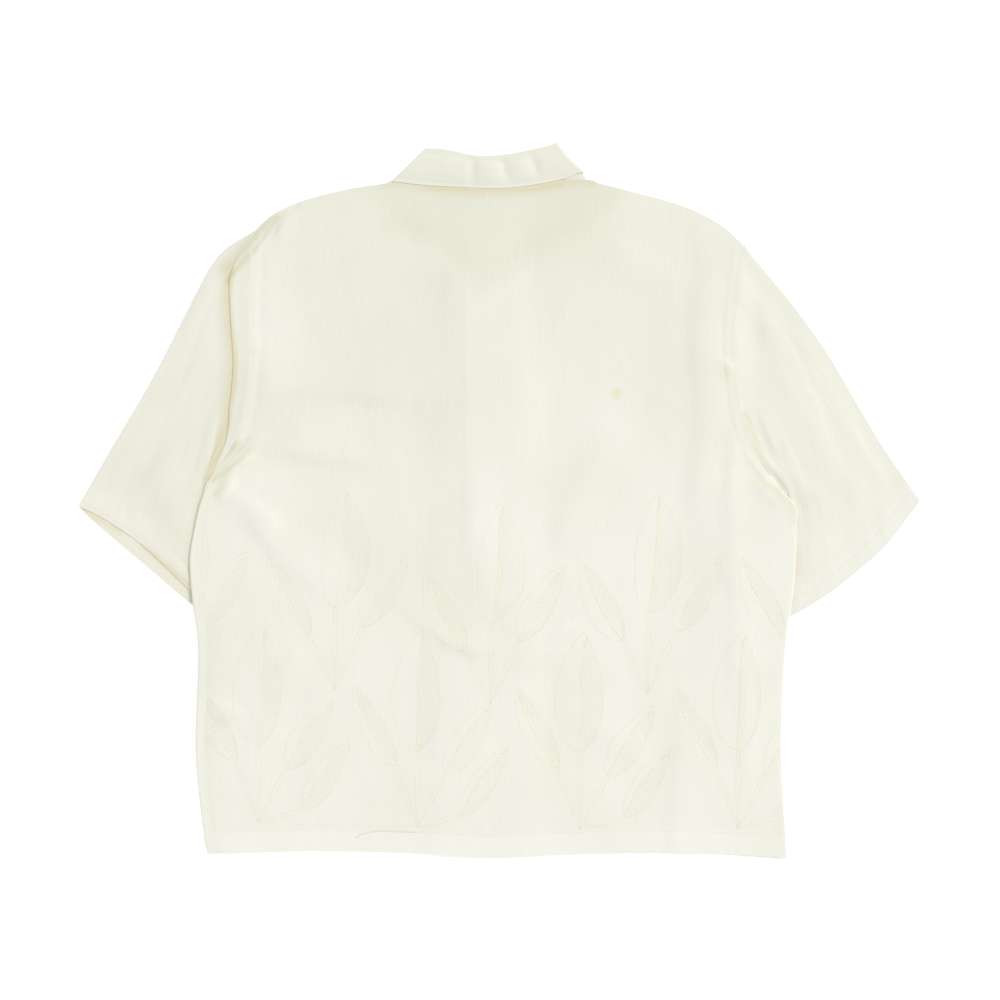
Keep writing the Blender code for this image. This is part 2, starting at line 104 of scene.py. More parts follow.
# What lies under the fronts and lifts them and the back
ZONES = {
    # name: x from, x to, y from, y to, ramp in x, ramp below, ramp above, lift
    "collar": (-128, 102, 172, 420, 45, 45, 30, 1.4),
    "sleeve_corner_left": (-420, -272, -152, 0, 55, 45, 20, 2.4),
    "sleeve_corner_right": (256, 420, -152, 0, 55, 45, 22, 2.8),
    "buttons": (-30, -4, -268, 214, 50, 50, 60, 2.1),
    "lap": (-420, 7, -420, 420, 36, 1, 1, 1.4),
}
BACK_ZONE_MARGIN = 14

# Soft folds of the back: the crest's middle, its turn, how long it is, how far it falls away on its
# upper or left side and on its lower or right side, how high it is, and how much its line bends
BACK_FOLDS = (
    # x, y, degrees, length, near width, far width, height, bend
    (-160, 117, -1, 240, 36, 13, 3.4, 0.0004),
    (-190, 52, -7, 180, 28, 11, 2.9, 0.0006),
    (-219, -62, -47, 190, 26, 10, 2.8, 0.0),
    (213, 120, 89, 420, 12, 26, 3.0, 0.0),
    (247, 20, 84, 240, 9, 18, 2.2, 0.0003),
    (90, 12, 67, 200, 13, 28, 2.0, 0.0),
    (-60, -145, -24, 130, 15, 6, 2.4, -0.004),
    (52, -138, 26, 90, 6, 12, 1.9, 0.004),
    (44, -160, 22, 70, 6, 12, 1.5, 0.003),
    (-227, -178, 44, 80, 8, 14, 2.4, 0.002),
    (-291, -222, -18, 70, 7, 11, 2.4, 0.004),
    (-286, -247, 24, 64, 7, 11, 2.2, -0.004),
    (190, -312, 90, 190, 11, 24, 2.6, 0.0),
    (-258, -250, 92, 190, 15, 24, 1.8, 0.0),
    (-208, 232, 84, 160, 34, 30, 2.6, 0.0),
    (248, -122, 88, 190, 10, 20, 2.2, 0.0),
    (-24, -30, 88, 230, 11, 22, 1.8, 0.0004),
    (96, 196, 9, 130, 14, 24, 1.4, 0.0),
    (-262, -8, -34, 90, 8, 14, 2.4, 0.0),
    (-226, 292, 68, 44, 4, 8, 1.8, 0.0),
    (-140, -20, -12, 200, 16, 30, 1.4, 0.0006),
    (150, -60, 75, 160, 20, 14, 1.3, 0.0),
    (120, -250, -30, 120, 14, 22, 1.5, 0.002),
    (-180, -280, 35, 120, 12, 20, 1.5, 0.001),
    (-60, -300, -20, 110, 12, 20, 1.3, 0.002),
    (260, -230, 95, 160, 14, 10, 1.6, 0.0),
    (150, 250, -28, 150, 14, 26, 1.2, 0.0),
)
# Short sharp creases round the armholes, which reach right to the seam
BACK_CREASES = (
    # x, y, degrees, length, near width, far width, height, bend
    (-284, 52, 51, 46, 2.6, 5, 3.4, 0.0),
    (-279, 37, 42, 58, 2.6, 5, 3.6, 0.004),
    (-289, 13, 58, 38, 2.6, 5, 2.8, 0.0),
    (-262, 62, 24, 46, 3, 6, 1.5, 0.0),
    (-240, 291, 48, 66, 4, 6, 2.6, 0.0),
    (-224, 295, 66, 34, 3, 4, 1.6, 0.0),
    (-252, 262, 30, 26, 3, 4, 1.4, 0.0),
    (-250, 160, 30, 26, 3, 5, 1.0, 0.0),
    (282, 10, -42, 60, 4, 8, 1.6, 0.0),
    (272, 34, -58, 60, 4, 7, 1.5, 0.0),
    (240, 140, -40, 34, 4, 7, 1.6, 0.0),
)

# How folds wander, swell and die out, and how far from the edges they keep
FOLD_WANDER = 3
FOLD_WANDER_RUN = 31
FOLD_UNEVEN = 0.25
FOLD_UNEVEN_RUN = 23
FOLD_FADE = 1.5
FOLD_EDGE = 26
CREASE_EDGE = 5
NOISE_CELLS = 64
NOISE_SHIFT = 600

# How the back rises over what lies under it
BACK_OVER = 0.4
BACK_LOFT = 0.9
LEFT_LIFT_REACH = 62
RIGHT_LIFT_REACH = 55
LOFT_IN = 70
LOFT_RAMP = 60
NECK_Y = 338
HEM_Y = -372
SOFT_LAP_X = -95
SOFT_LAP_Y = 260
SOFT_LAP_RAMP = 45
EDGE_CRUMPLE = 0.35
WAIST_Y = 60
WAIST_RAMP = 160
BACK_CRUMPLES = (
    # height, size across, size along, seed
    (0.45, 34, 80, 3),
    (0.22, 13, 46, 4),
)
LOW_CRUMPLES = ((0.5, 24, 20, 5),)

# Turned bands along an edge, with their stitching
BANDS = {
    # name: width, step, groove's place, width, gathers' place, reach, then band's, groove's, gathers' height
    "armhole": (11.5, 1.8, 11, 2.2, 9, 9, 0.5, 0.45, 0.45),
    "hem": (25, 2, 24.5, 2.4, 24, 12, 0.5, 0.5, 0.4),
    "cuff": (22, 2, 21.5, 2.2, 21, 11, 0.5, 0.5, 0.4),
}
ARMHOLE_GATHERS = (30, 6)
ARMHOLE_SEEDS = (11, 12)
HEM_GATHERS = (8, 40)
GATHER_SLANT = 0.5
HEM_SEED = 13
CUFF_SEED = 23

# Sleeves: each curve runs from the shoulder or the armhole outwards
SLEEVES = {
    "sleeve_left": {
        "side": -1,
        "outer_fold": (
            (-258, 281), (-283, 268), (-300, 250), (-316, 222), (-363, 130), (-410, 50), (-442, -6),
        ),
        "underarm": ((-303, 22), (-316, 13), (-321, -3), (-320, -21), (-311, -62), (-287, -131)),
        "cuff_upper": ((-442, -6), (-417, -16), (-375, -41), (-323, -85), (-287, -116)),
        "cuff_lower": ((-442, -6), (-425, -23), (-366, -73), (-322, -110), (-287, -131)),
        "folds": (
            (-330, 120, 60, 190, 10, 20, 2.2, 0.0006),
            (-352, 40, 54, 150, 9, 18, 2.0, -0.0006),
            (-385, 60, 60, 120, 9, 16, 1.4, 0.0),
            (-300, 60, 66, 130, 8, 14, 2.0, 0.0),
            (-320, 205, 50, 80, 8, 14, 1.6, 0.0),
            (-352, -40, 38, 70, 8, 14, 1.6, 0.0),
        ),
    },
    "sleeve_right": {
        "side": 1,
        "outer_fold": (
            (258, 267), (282, 238), (314, 199), (345, 155), (377, 101), (408, 50), (443, 0),
        ),
        "underarm": ((283, 26), (290, 16), (303, 0), (310, -17), (301, -62), (274, -134)),
        "cuff_upper": ((443, 0), (408, -46), (377, -74), (345, -99), (310, -120), (274, -134)),
        "cuff_lower": ((443, 0), (408, -46), (377, -74), (345, -99), (310, -120), (274, -134)),
        "folds": (
            (292, 150, 110, 170, 16, 14, 1.4, 0.0),
            (318, 110, 122, 170, 18, 14, 1.2, 0.0),
            (350, 40, 126, 150, 18, 13, 1.3, 0.0),
            (281, 70, 112, 60, 6, 5, 2.0, 0.0),
            (318, 20, 140, 90, 12, 9, 1.2, 0.0),
            (380, 60, 122, 120, 12, 8, 1.2, 0.0),
        ),
    },
}
LIP_WIDTHS = (
    # share from shoulder to underarm, how far the left sleeve's lip reaches out from its seam
    (0.0, 2.0), (0.06, 14.0), (0.14, 25.0), (0.25, 21.0), (0.45, 16.0), (0.62, 15.0), (0.75, 10.0),
    (0.9, 5.0), (1.0, 2.0),
)
LIP_SHARE = 0.12
LIP_FOLD_SHARE = 0.2
LIP_TURNS = (0.25, 0.6, 0.8)
LIP_TUCK = 1.2
LIP_SPREAD = 14.0
LIP_FLANK = 26.0
LIP_RISE = 10
LIP_RUN_OUT = 3
LIP_SINK = 1.6
LIP_SINK_WIDTH = 16
LIP_FADE_HIGH = 0.14
LIP_FADE_LOW = 0.3
VALLEY_SHARE = 0.12
VALLEY_DEPTH = 1.1
RIGHT_LIP = 6.0
RIGHT_LIP_RISE = 30
SLEEVE_STEPS = (72, 6, 30)
SLEEVE_ROWS = 88
SLEEVE_CUT = (520, 320)
SLEEVE_GIRTH = 240
SLEEVE_LOFT = 0.9
SLEEVE_RAMP = 0.2
SLEEVE_ROUND = 0.12
SLEEVE_PLAIN = 0.1
SLEEVE_CRUMPLES = (
    # height, size across, size along, seed
    (0.6, 24, 60, 21),
    (0.35, 10, 32, 22),
)
CRUMPLE_FROM_SEAM = 9
FOLDS_FROM_SEAM = 24
RIM_SHARE = 0.05
RIM_STEP = 0.04
RIM_INSET = 20
CUFF_DROP = 1.5
CUFF_DROP_FROM = 0.75
CUFF_FLAT = 14
CUFF_REST = 0.8
CUFF_HEM = 21.0
ALLOWANCE = 4 / 84

# Deep warm lines of shade, with how far they reach to the left and the right as the line runs
HOLLOWS = (
    # node, strength, left reach, right reach, line
    ("sleeve_left", 1.0, 4, 15, (
        (-280, 242), (-283, 212), (-280, 180), (-276, 150),
        (-277, 120), (-282, 98), (-284, 80), (-292, 52), (-303, 22),
    )),
    ("sleeve_left", 0.4, 4, 12, ((-303, 22), (-311, 7), (-320, -30), (-323, -60), (-324, -112))),
    ("sleeve_left", 0.35, 6, 10, ((-228, 300), (-240, 292), (-262, 268), (-280, 242))),
    ("back", 0.3, 8, 8, ((-222, 306), (-240, 292), (-258, 276))),
    ("back", 0.5, 7, 5, ((-273, 62), (-284, 50), (-300, 30))),
    ("back", 0.5, 7, 5, ((-262, 54), (-284, 34), (-301, 20))),
    ("back", 0.4, 6, 4, ((-284, 24), (-298, 6))),
    ("back", 0.55, 12, 12, ((-105, 335), (-62, 328), (-18, 325), (26, 326), (88, 338))),
    ("back", 0.95, 6, 6, ((-76, 329), (-18, 324.5), (26, 325.5), (66, 332))),
    ("back", 0.25, 24, 24, ((-112, 287), (-100, 288), (-84, 283))),
    ("back", 0.6, 8, 8, ((-122, 333), (-98, 334))),
    ("back", 0.6, 7, 7, ((80, 339), (98, 332))),
    ("sleeve_left", 0.9, 1, 10, ((-442, -9), (-417, -20), (-396, -32))),
    ("sleeve_left", 0.9, 1, 11, ((-372, -48), (-345, -70), (-323, -89), (-300, -110))),
    ("sleeve_left", 0.2, 26, 26, ((-425, -24), (-366, -70), (-318, -108))),
    ("sleeve_right", 0.5, 5, 8, ((258, 92), (268, 70), (277, 44), (283, 34))),
    ("back", 0.16, 9, 9, ((250, 245), (247, 200), (245, 150), (248, 128), (258, 88))),
    ("back", 0.3, 12, 12, ((247, 138), (238, 132))),
    ("back", 0.35, 10, 10, ((268, 22), (290, 9), (304, -3), (311, -22))),
    ("sleeve_right", 0.5, 8, 8, ((312, -50), (312, -66), (314, -76))),
)

# Painted shade along tight creases at the left shoulder, under the left armhole and across the left sleeve,
# taken off the count of layers of cloth
CREASE_SHADES = (
    # node, layers fewer, left reach, right reach, line
    ("sleeve_left", 1.8, 12, 11, ((-291, 243), (-274, 259), (-258, 274))),
    ("sleeve_left", 2.6, 5, 5, ((-286, 230), (-276, 243), (-263, 257))),
    ("back", 1.8, 8, 7, ((-262, 270), (-250, 282), (-234, 298))),
    ("back", 2.6, 4, 4, ((-262, 257), (-252, 269), (-243, 282), (-232, 297))),
    ("back", 0.8, 5, 5, ((-236, 280), (-226, 292), (-212, 308))),
    ("back", 1.3, 4, 4, ((-262, 65), (-275, 58), (-296, 35))),
    ("back", 1.8, 4, 4, ((-266, 60), (-284, 40), (-301, 20))),
    ("back", 1.4, 4, 4, ((-283, 30), (-290, 22), (-298, 7))),
    ("sleeve_left", 0.45, 24, 24, ((-372, 30), (-346, -26), (-316, -84))),
)

# Collar sections from the left point round the back of the neck to the right point
COLLAR_SECTIONS = (
    # seam x, seam y, fold x, fold y, edge x, edge y, side in degrees
    (-24, 227, -22, 231, -82, 188, -90),
    (-35, 232, -31, 239, -99, 210, -90),
    (-55, 252, -48, 259, -112, 240, -90),
    (-76, 281, -62, 292, -118, 273, -90),
    (-88, 311, -73, 335, -117, 309, -90),
    (-101, 344, -75, 370, -111, 335, -90),
    (-101, 344, -75, 370, -111, 335, -45),
    (-101, 344, -75, 370, -111, 335, 0),
    (-101, 344, -75, 370, -111, 335, 45),
    (-101, 341, -74, 370, -110, 335, 90),
    (-76, 339, -66, 370, -86, 332, 90),
    (-55, 338, -51, 368, -61, 330, 90),
    (-35, 337, -33, 364, -38, 329, 90),
    (-17, 337, -16, 362, -18, 328, 90),
    (1, 337, 1, 363, 2, 328, 90),
    (22, 336, 21, 366, 26, 330, 90),
    (44, 336, 39, 370, 50, 334, 90),
    (66, 336, 53, 373, 72, 339, 90),
    (85, 335, 57, 375, 83, 344, 90),
    (94, 334, 59, 376, 88, 344, 45),
    (94, 334, 59, 376, 88, 344, 0),
    (94, 334, 59, 376, 88, 344, -45),
    (94, 334, 59, 376, 89, 342, -90),
    (74, 311, 60, 335, 98, 309, -90),
    (66, 281, 52, 292, 103, 273, -90),
    (44, 256, 36, 263, 97, 240, -90),
    (22, 238, 17, 244, 84, 210, -90),
    (0, 225, -2, 229, 66, 186, -90),
)
COLLAR_STEPS = (6, 8, 30)
COLLAR_DENTS = (
    # x, lean, depth, width
    (-28, 0.10, -1.9, 5.0),
    (7, -0.25, -2.0, 5.5),
    (40, -0.35, -1.8, 5.5),
    (-58, 0.3, 0.5, 9),
    (-10, 0.0, 0.6, 8),
    (24, -0.3, 0.5, 7),
    (62, -0.4, 0.5, 7),
)
COLLAR_CUT = (62, 620)
COLLAR_ROWS = 9
COLLAR_MIDDLE = (REST + REST + PITCH + BACK_PITCH + PITCH) / 2
STAND_OUT = BACK_PITCH / 2
FALL_OUT = STAND_OUT + PITCH
COLLAR_CENTRE_X = -10
COLLAR_SPREAD = 0.6
SEEN_FROM = 30
SEEN_RAMP = 60
DENT_Y = 345
DENT_FADE = 0.45
FALL_RAMP = 3
FALL_OVER = 0.35
FALL_OPEN = 0.25
FALL_SWELL = 1.5
SWELL_RAMP = 2.5
SWELL_END = 1.04
SWELL_END_RAMP = 2.2
FALL_DROOP = 0.85
DROOP_FROM = 0.5
COLLAR_GROOVE = 0.45
COLLAR_GROOVE_AT = 0.91
COLLAR_GROOVE_WIDTH = 0.035

# Layers of cloth seen through each other, from the fewest and darkest to the most and palest. Some counts
# are lowered further, below any real count, to paint shade
FEW_LAYERS = -1.0
MANY_LAYERS = 3.0
PLAIN_LAYERS = 2.0
# The collar is tinted a little darker than the body, though it has more layers
COLLAR_TONE = 1.1
# The sleeves are tinted darker than the body, and the left one darker still as painted shade on the side
# away from the light
SLEEVE_LAYERS_AND_SHADE = {"sleeve_left": 1.3, "sleeve_right": 1.6}
CUFF_LAYERS = 0.4
CUFF_LAYERS_IN = 3
CUFF_LAYERS_RAMP = 4
SEEN_NECKLINE = (
    # x, y of the fronts' neckline, which shows through the back as a darker V above it
    (-160, 330), (-104, 286), (-60, 256), (-22, 226), (10, 240), (50, 260), (96, 281), (150, 330),
)
NECK_FEWER = 0.8
NECK_MARGIN = 10
NECK_RAMP = 30
LAP_LAYERS = (
    # layers more, x where they start, ramp, x where they end, ramp
    (0.42, -38, 6, 80, 90),
    (-0.35, -100, 60, -32, 6),
)
LAP_NECK_RAMP = 20
LAP_FOOT_Y = -110
LAP_FOOT_RAMP = 90
HEM_LAYERS = 0.5
HEM_LAYERS_UP = 24
HEM_LAYERS_RAMP = 5
SEAM_LAYERS = 0.4
SEAM_LAYERS_IN = 12
SEAM_LAYERS_RAMP = 4
ARMHOLE_Y = 30
ARMHOLE_RAMP = 8
# Painted shade: the back is tinted darker towards the top, as if it had fewer layers there
UPPER_BACK_SHADE = 0.75
HIGH_Y = -160
HIGH_RAMP = 420
# Painted shade along the lower left side of the back, as fewer layers
LEFT_SIDE_SHADE = 0.9
LEFT_SIDE_SHADE_IN = 48
LEFT_SIDE_SHADE_RAMP = 44
LEFT_SIDE_SHADE_Y = -90
LEFT_SIDE_SHADE_DOWN = 60
LAYER_CLOUDS = ((0.4, 60, 90, 31),)

# Leaf embroidery
LEAF_WIDEST = 0.58
LEAF_TIP_POWER = 0.85
LEAF_FOOT_POWER = 0.6
OUTLINE_POINTS = 44
OUTLINE_WANDER = ((1.5, 15, 15, 41),)
STEM_GAP = 1.7
STEM_BULGE = 1.3
RIB_PITCH = 0.8
VEIN_PITCH = 3.2
VEIN_RUN = 0.17
VEIN_FIRST = 0.13
VEIN_LAST = 1.02
VEIN_BEND = 1.4
VEIN_POINTS = 5
RIB_START = 0.02
RIB_TAPER = 0.3
RIB_POINTS = 34
RIB_WANDER = ((0.6, 11, 11, 42),)
STEM_POINTS = 22
NEAR_TIP = 0.03
NEAR_FOOT = 0.99
LEAF_EDGE_LEFT = 11
LEAF_EDGE_RIGHT = 2.5
LEAF_THREADS = {
    # name: height over the cloth, radius
    "leaf_outlines": (-0.12, 0.36),
    "leaf_midribs": (-0.2, 0.6),
    "leaf_veins": (-0.04, 0.22),
}
SPRIGS = {
    # name: leaves as tip x, tip y, foot x, foot y, root x, root y, left width, right width, bow
    "upper": (
        (9, 211, 1, 86, 0, 0, 22, 28, 4),
        (77, 145, 30, 68, 0, 0, 13, 19, -4),
        (-69, 139, -27, 57, 0, 0, 17, 16, -4),
    ),
    "lower": (
        (4, 208, 0, 82, 0, 0, 29, 22, 0),
        (78, 131, 29, 57, 0, 0, 12, 19, -4),
        (95, 85, 47, 14, 0, 0, 9, 18, -5),
        (-67, 150, -24, 66, 0, 0, 13, 14, -4),
    ),
}
SPRIG_PLACES = (
    # sprig, x, y
    ("upper", -341, -199), ("upper", -173, -199), ("upper", -9, -214), ("upper", 156, -204),
    ("upper", 324, -199), ("lower", -253, -339), ("lower", -86, -344), ("lower", 85, -346),
    ("lower", 251, -345),
)

# Sewing
STITCH = 2.5
STITCH_PITCH = 3.5
STITCH_LIFT = 0.12
STITCH_RADIUS = 0.3
STITCH_SINK = 0.35
HEM_STITCH_UP = 22.8
HEM_STITCH_ENDS = (0.75, 0.1)
HEM_STITCH_INSETS = (10.0, 1.0)
ARMHOLE_STITCH_INSETS = (2.2, 9.6)
SIDE_STITCH_BACK = 2.6
SIDE_STITCH_FRONT = 2.2
CUFF_STITCH_UP = CUFF_HEM - 1.6
CUFF_STITCH_ENDS = 0.03
COLLAR_STITCH_SECTIONS = (9.2, 17.9)
COLLAR_STITCH_UP = 0.09
HEM_PUCKER = (
    # x, y of the stretch where the hem's thread is pulled tight
    (-150, -354), (-142, -350), (-126, -347.5), (-104, -348), (-84, -348.5),
)
PUCKER_LIFT = 0.2
PUCKER_RADIUS = 0.45

# Buttons and buttonholes
BUTTON_X = -17
BUTTON_YS = (203, 111, 19, -73, -165, -257)
BUTTON_PROFILE = (
    # radius, height above the floor; the face with its rim is down
    (0, 1.75), (4.7, 1.75), (5.4, 1.5), (5.7, 0.95), (5.5, 0.35), (5.0, 0.05), (4.6, 0.1),
    (4.1, 0.5), (3.6, 0.62), (0, 0.62),
)
HOLE_RADIUS = 0.65
HOLE_REACH = 1.35
BUTTONHOLE_LENGTH = 14.0
BUTTONHOLE_WIDTH = 1.8
BUTTON_SIDES = 48
HOLE_SIDES = 16
HOLE_DEPTH = 4
BUTTON_MERGE = 0.01
BUTTONHOLE_LIFT = 0.05
BUTTONHOLE_RADIUS = 0.42
BUTTON_THREAD_RADIUS = 0.32
BUTTON_THREAD = (
    # place from hole to hole, height
    (-1, 1.4), (-1, 0.45), (-0.5, 0.32), (0.5, 0.32), (1, 0.45), (1, 1.4),
)

# Pattern sizes across and along the cloth, and each pattern's share beside the next.
# The yarns are 0.3 mm apart, too fine to show, so slubs and weft are drawn coarser
SLUB_SIZE = (2.0, 40.0)
WEFT_SIZE = (16.0, 1.4)
CRINKLE_SIZE = (4.0, 16.0)
BLOTCH_SIZE = 110.0
STAIN_GRAIN = 2.4
HORN_STREAK = 5.5
SLUB_SHARE = 0.6
WEFT_SHARE = 0.25

# The stain's middle, its edge and its heart, in metres, and how strong it is
STAIN_PLACE = (0.124, 0.112, 0.005)
STAIN_REACH = 0.011
STAIN_HEART = 0.005
STAIN_RAGGED = 0.005
STAIN_STRENGTH = 0.8

# Floor, light and camera, in metres, but the lens and its sensor in millimetres
FLOOR_HALF = 6
CAMERA_X = 0.001
CAMERA_Y = 0.0005
FRAME_WIDTH = 1.05
LENS = 100
SENSOR = 36
CLOTH_HEIGHT = 0.005
SKY_STRENGTH = 0.745
LIGHTS = (
    # name, place, size, watts
    ("fill", (-5.0, -3.0, 0.9), 1.5, 70),
    ("key", (14.0, 7.9, 14.0), 7.0, 2700),
)

# Steps of the grids to each column and row, and points along the lines that are read or stitched
BACK_STEPS = (6, 6)
LEFT_STEPS = (3, 6)
RIGHT_STEPS = (3, 3)
STRIP_STEPS = 10
STRIP_PARTS = 2
LINE_POINTS = 12
CUFF_POINTS = 30
ROW_POINTS = 60
HEM_POINTS = 160
ARMHOLE_POINTS = 90
SIDE_POINTS = 120
CUFF_STITCH_POINTS = 90
COLLAR_POINTS = 260
PUCKER_POINTS = 30
BUTTONHOLE_POINTS = 5
ROW_CLEAR = 0.1
RAY_FROM = 100

ROW_STARTS = np.concatenate([[0], np.cumsum([section[1] for section in SECTIONS[:-1]])])
TOP_ROW = int(ROW_STARTS[-1])
UNDERARM_ROW = int(ROW_STARTS[8])
EDGE_TABLE = np.array([section[2:] for section in SECTIONS], float)
BACK_COLUMNS = 2 * SIDE_STEPS + len(CENTRE_LINES) - 1
ROWS = np.arange(TOP_ROW + 1)


# Small helpers for shapes, on arrays

def mix(a, b, share):
    return a + (b - a) * share


def ease(share):
    share = np.clip(share, 0, 1)
    return share * share * (3 - 2 * share)


def smooth_at(table, place):
    """Rows of a table at fractional places, joined by smooth curves."""
    table = np.asarray(table, float)
    place = np.asarray(place, float)
    last = len(table) - 1
    index = np.clip(place.astype(int), 0, last - 1)
    t = (place - index)[..., None]
    p0, p1, p2, p3 = (table[np.clip(index + k, 0, last)] for k in (-1, 0, 1, 2))
    bend = 2 * p0 - 5 * p1 + 4 * p2 - p3
    twist = 3 * (p1 - p2) + p3 - p0
    return p1 + t / 2 * (p2 - p0 + t * (bend + t * twist))


def held_at(table, place):
    """The same, but never beyond the two rows that a place lies between."""
    table = np.asarray(table, float)
    low = table[np.floor(place).astype(int)]
    high = table[np.ceil(place).astype(int)]
    return np.clip(smooth_at(table, place), np.minimum(low, high), np.maximum(low, high))


def along_curve(points, share):
    """Points of a smooth curve at shares of its length."""
    points = np.asarray(points, float)
    lengths = np.linalg.norm(np.diff(points, axis=0), axis=1)
    marks = np.concatenate([[0], np.cumsum(lengths)]) / lengths.sum()
    return smooth_at(points, np.interp(share, marks, np.arange(len(points))))


def smooth_line(table, x):
    """A table of x, y as a smooth curve read at x."""
    dense = smooth_at(table, np.linspace(0, len(table) - 1, LINE_POINTS * len(table)))
    return np.interp(x, dense[:, 0], dense[:, 1])


def soft_noise(x, y, size_x, size_y, seed):
    """Uneven values from -1 to 1 that change softly over the given sizes."""
    field = np.random.default_rng(seed).uniform(-1, 1, (NOISE_CELLS, NOISE_CELLS))
    u, v = x / size_x + NOISE_SHIFT, y / size_y + NOISE_SHIFT
    column, row = np.floor(u).astype(int), np.floor(v).astype(int)
    across, up = ease(u - column), ease(v - row)

    def corner(right, above):
        return field[(column + right) % NOISE_CELLS, (row + above) % NOISE_CELLS]

    return mix(mix(corner(0, 0), corner(1, 0), across), mix(corner(0, 1), corner(1, 1), across), up)


def crumple(waves, x, y):
    """Small uneven wrinkles of several sizes together."""
    return sum(height * soft_noise(x, y, across, along, seed) for height, across, along, seed in waves)


def ridge(distance, middle, width):
    """A soft crest, 1 high at its middle."""
    return np.exp(-(((distance - middle) / width) ** 2))


def edges_at(row):
    """Both edges of the body and the back's lift at them, as columns of the section table."""
    return smooth_at(EDGE_TABLE, np.interp(row, ROW_STARTS, np.arange(len(SECTIONS)))).T


def lift_in(zone, x, y, margin=0):
    x0, x1, y0, y1, ramp_x, ramp_low, ramp_high, lift = ZONES[zone]
    side = np.maximum(np.maximum(x0 - margin - x, x - x1 - margin), 0) / ramp_x
    below = np.maximum(y0 - margin - y, 0) / ramp_low
    above = np.maximum(y - y1 - margin, 0) / ramp_high
    return lift * ease(1 - side) * ease(1 - below) * ease(1 - above)


def fold_height(folds, x, y):
    """Crests that are steeper on one side, fade out at their ends and wander a little."""
    height = np.zeros_like(x)
    for number, (fold_x, fold_y, degrees, length, near, far, top, bend) in enumerate(folds):
        turn = math.radians(degrees)
        down = (x - fold_x) * math.cos(turn) + (y - fold_y) * math.sin(turn)
        across = (y - fold_y) * math.cos(turn) - (x - fold_x) * math.sin(turn)
        across = across + bend * down**2 + FOLD_WANDER * np.sin(down / FOLD_WANDER_RUN + number)
        width = np.where(across > 0, near, far)
        window = ease(FOLD_FADE - np.abs(down) / (length / 2) * FOLD_FADE)
        uneven = 1 + FOLD_UNEVEN * np.sin(down / FOLD_UNEVEN_RUN + 2 * number)
        height = height + top * window * uneven * ridge(across, 0, width)
    return height


ROW_YS = edges_at(ROWS)[1]


# The body's cloths

def seam_in(row):
    return mix(SEAM_IN_AT_UNDERARM, SEAM_IN, ease((UNDERARM_ROW - 1 - row) / SEAM_TAPER_ROWS))


def on_side(row):
    """One along the side seams, fading out just below the underarm."""
    return ease((UNDERARM_ROW - row) / SIDE_FADE_ROWS)


def rise(line, neckline, share, x):
    """How far a curved top or foot of the body stands out from the straight line between its ends."""
    chord = mix(line[0][1], line[-1][1], share)
    top = smooth_line(line, mix(line[0][0], line[-1][0], share))
    if neckline:
        inside = (x >= neckline[0][0]) & (x <= neckline[-1][0])
        top = np.where(inside, np.interp(x, *zip(*neckline)), top)
    return top - chord


def body_xy(column, row, left_in, right_in, neckline=None):
    """Where columns meet rows, each edge taken in by so much, in the same grid as the solids."""
    left_x, left_y, _, right_x, right_y, _ = edges_at(row)
    left_x = left_x + left_in
    right_x = right_x - right_in
    inner = column - SIDE_STEPS
    last = len(CENTRE_LINES) - 1
    x = np.interp(inner, np.arange(last + 1), CENTRE_LINES)
    x = np.where(inner < 0, mix(left_x, CENTRE_LINES[0], column / SIDE_STEPS), x)
    x = np.where(inner > last, mix(CENTRE_LINES[-1], right_x, (inner - last) / SIDE_STEPS), x)
    share = (x - left_x) / (right_x - left_x)
    y = mix(left_y, right_y, share)
    up = np.clip((row - UNDERARM_ROW) / (TOP_ROW - UNDERARM_ROW), 0, 1)
    y = y + rise(SHOULDER_LINE, neckline, share, x) * up
    y = y + rise(HEM_LINE, None, share, x) * np.clip(1 - row / HEM_ROWS, 0, 1)
    return x, y


def front_left_height(x, y):
    zones = ("collar", "sleeve_corner_left", "buttons")
    return REST + np.maximum.reduce([lift_in(zone, x, y) for zone in zones])


def front_right_height(x, y):
    zones = ("collar", "sleeve_corner_right", "buttons")
    return REST + np.maximum.reduce([lift_in(zone, x, y) for zone in zones]) + lift_in("lap", x, y)


def back_height(row, x, y):
    """The back lies on the fronts, stands up towards the armholes and has its soft folds."""
    left_x, _, left_lift, right_x, _, right_lift = edges_at(row)
    zones = ("collar", "sleeve_corner_left", "sleeve_corner_right", "buttons")
    below = np.maximum.reduce([lift_in(zone, x, y, BACK_ZONE_MARGIN) for zone in zones])
    lap = lift_in("lap", x, y, BACK_ZONE_MARGIN)
    lap = lap * ease((x - SOFT_LAP_X) / SOFT_LAP_RAMP) * ease((SOFT_LAP_Y - y) / SOFT_LAP_RAMP)
    from_left, from_right = x - left_x, right_x - x
    edges = left_lift * ease(1 - from_left / LEFT_LIFT_REACH)
    edges = edges + right_lift * ease(1 - from_right / RIGHT_LIFT_REACH)
    inside = ease(from_left / LOFT_IN) * ease(from_right / LOFT_IN)
    inside = inside * ease((NECK_Y - y) / LOFT_RAMP) * ease((y - HEM_Y) / LOFT_RAMP)
    folds = fold_height(BACK_FOLDS, x, y) * ease(from_left / FOLD_EDGE) * ease(from_right / FOLD_EDGE)
    creases = fold_height(BACK_CREASES, x, y) * ease(from_left / CREASE_EDGE)
    folds = folds + creases * ease(from_right / CREASE_EDGE)
    wrinkles = crumple(BACK_CRUMPLES, x, y)
    wrinkles = wrinkles + ease((WAIST_Y - y) / WAIST_RAMP) * crumple(LOW_CRUMPLES, x, y)
    wrinkles = wrinkles * mix(EDGE_CRUMPLE, 1, inside)
    below = REST + BACK_PITCH + below + lap
    return below + edges + BACK_LOFT * inside + folds + wrinkles + BACK_OVER


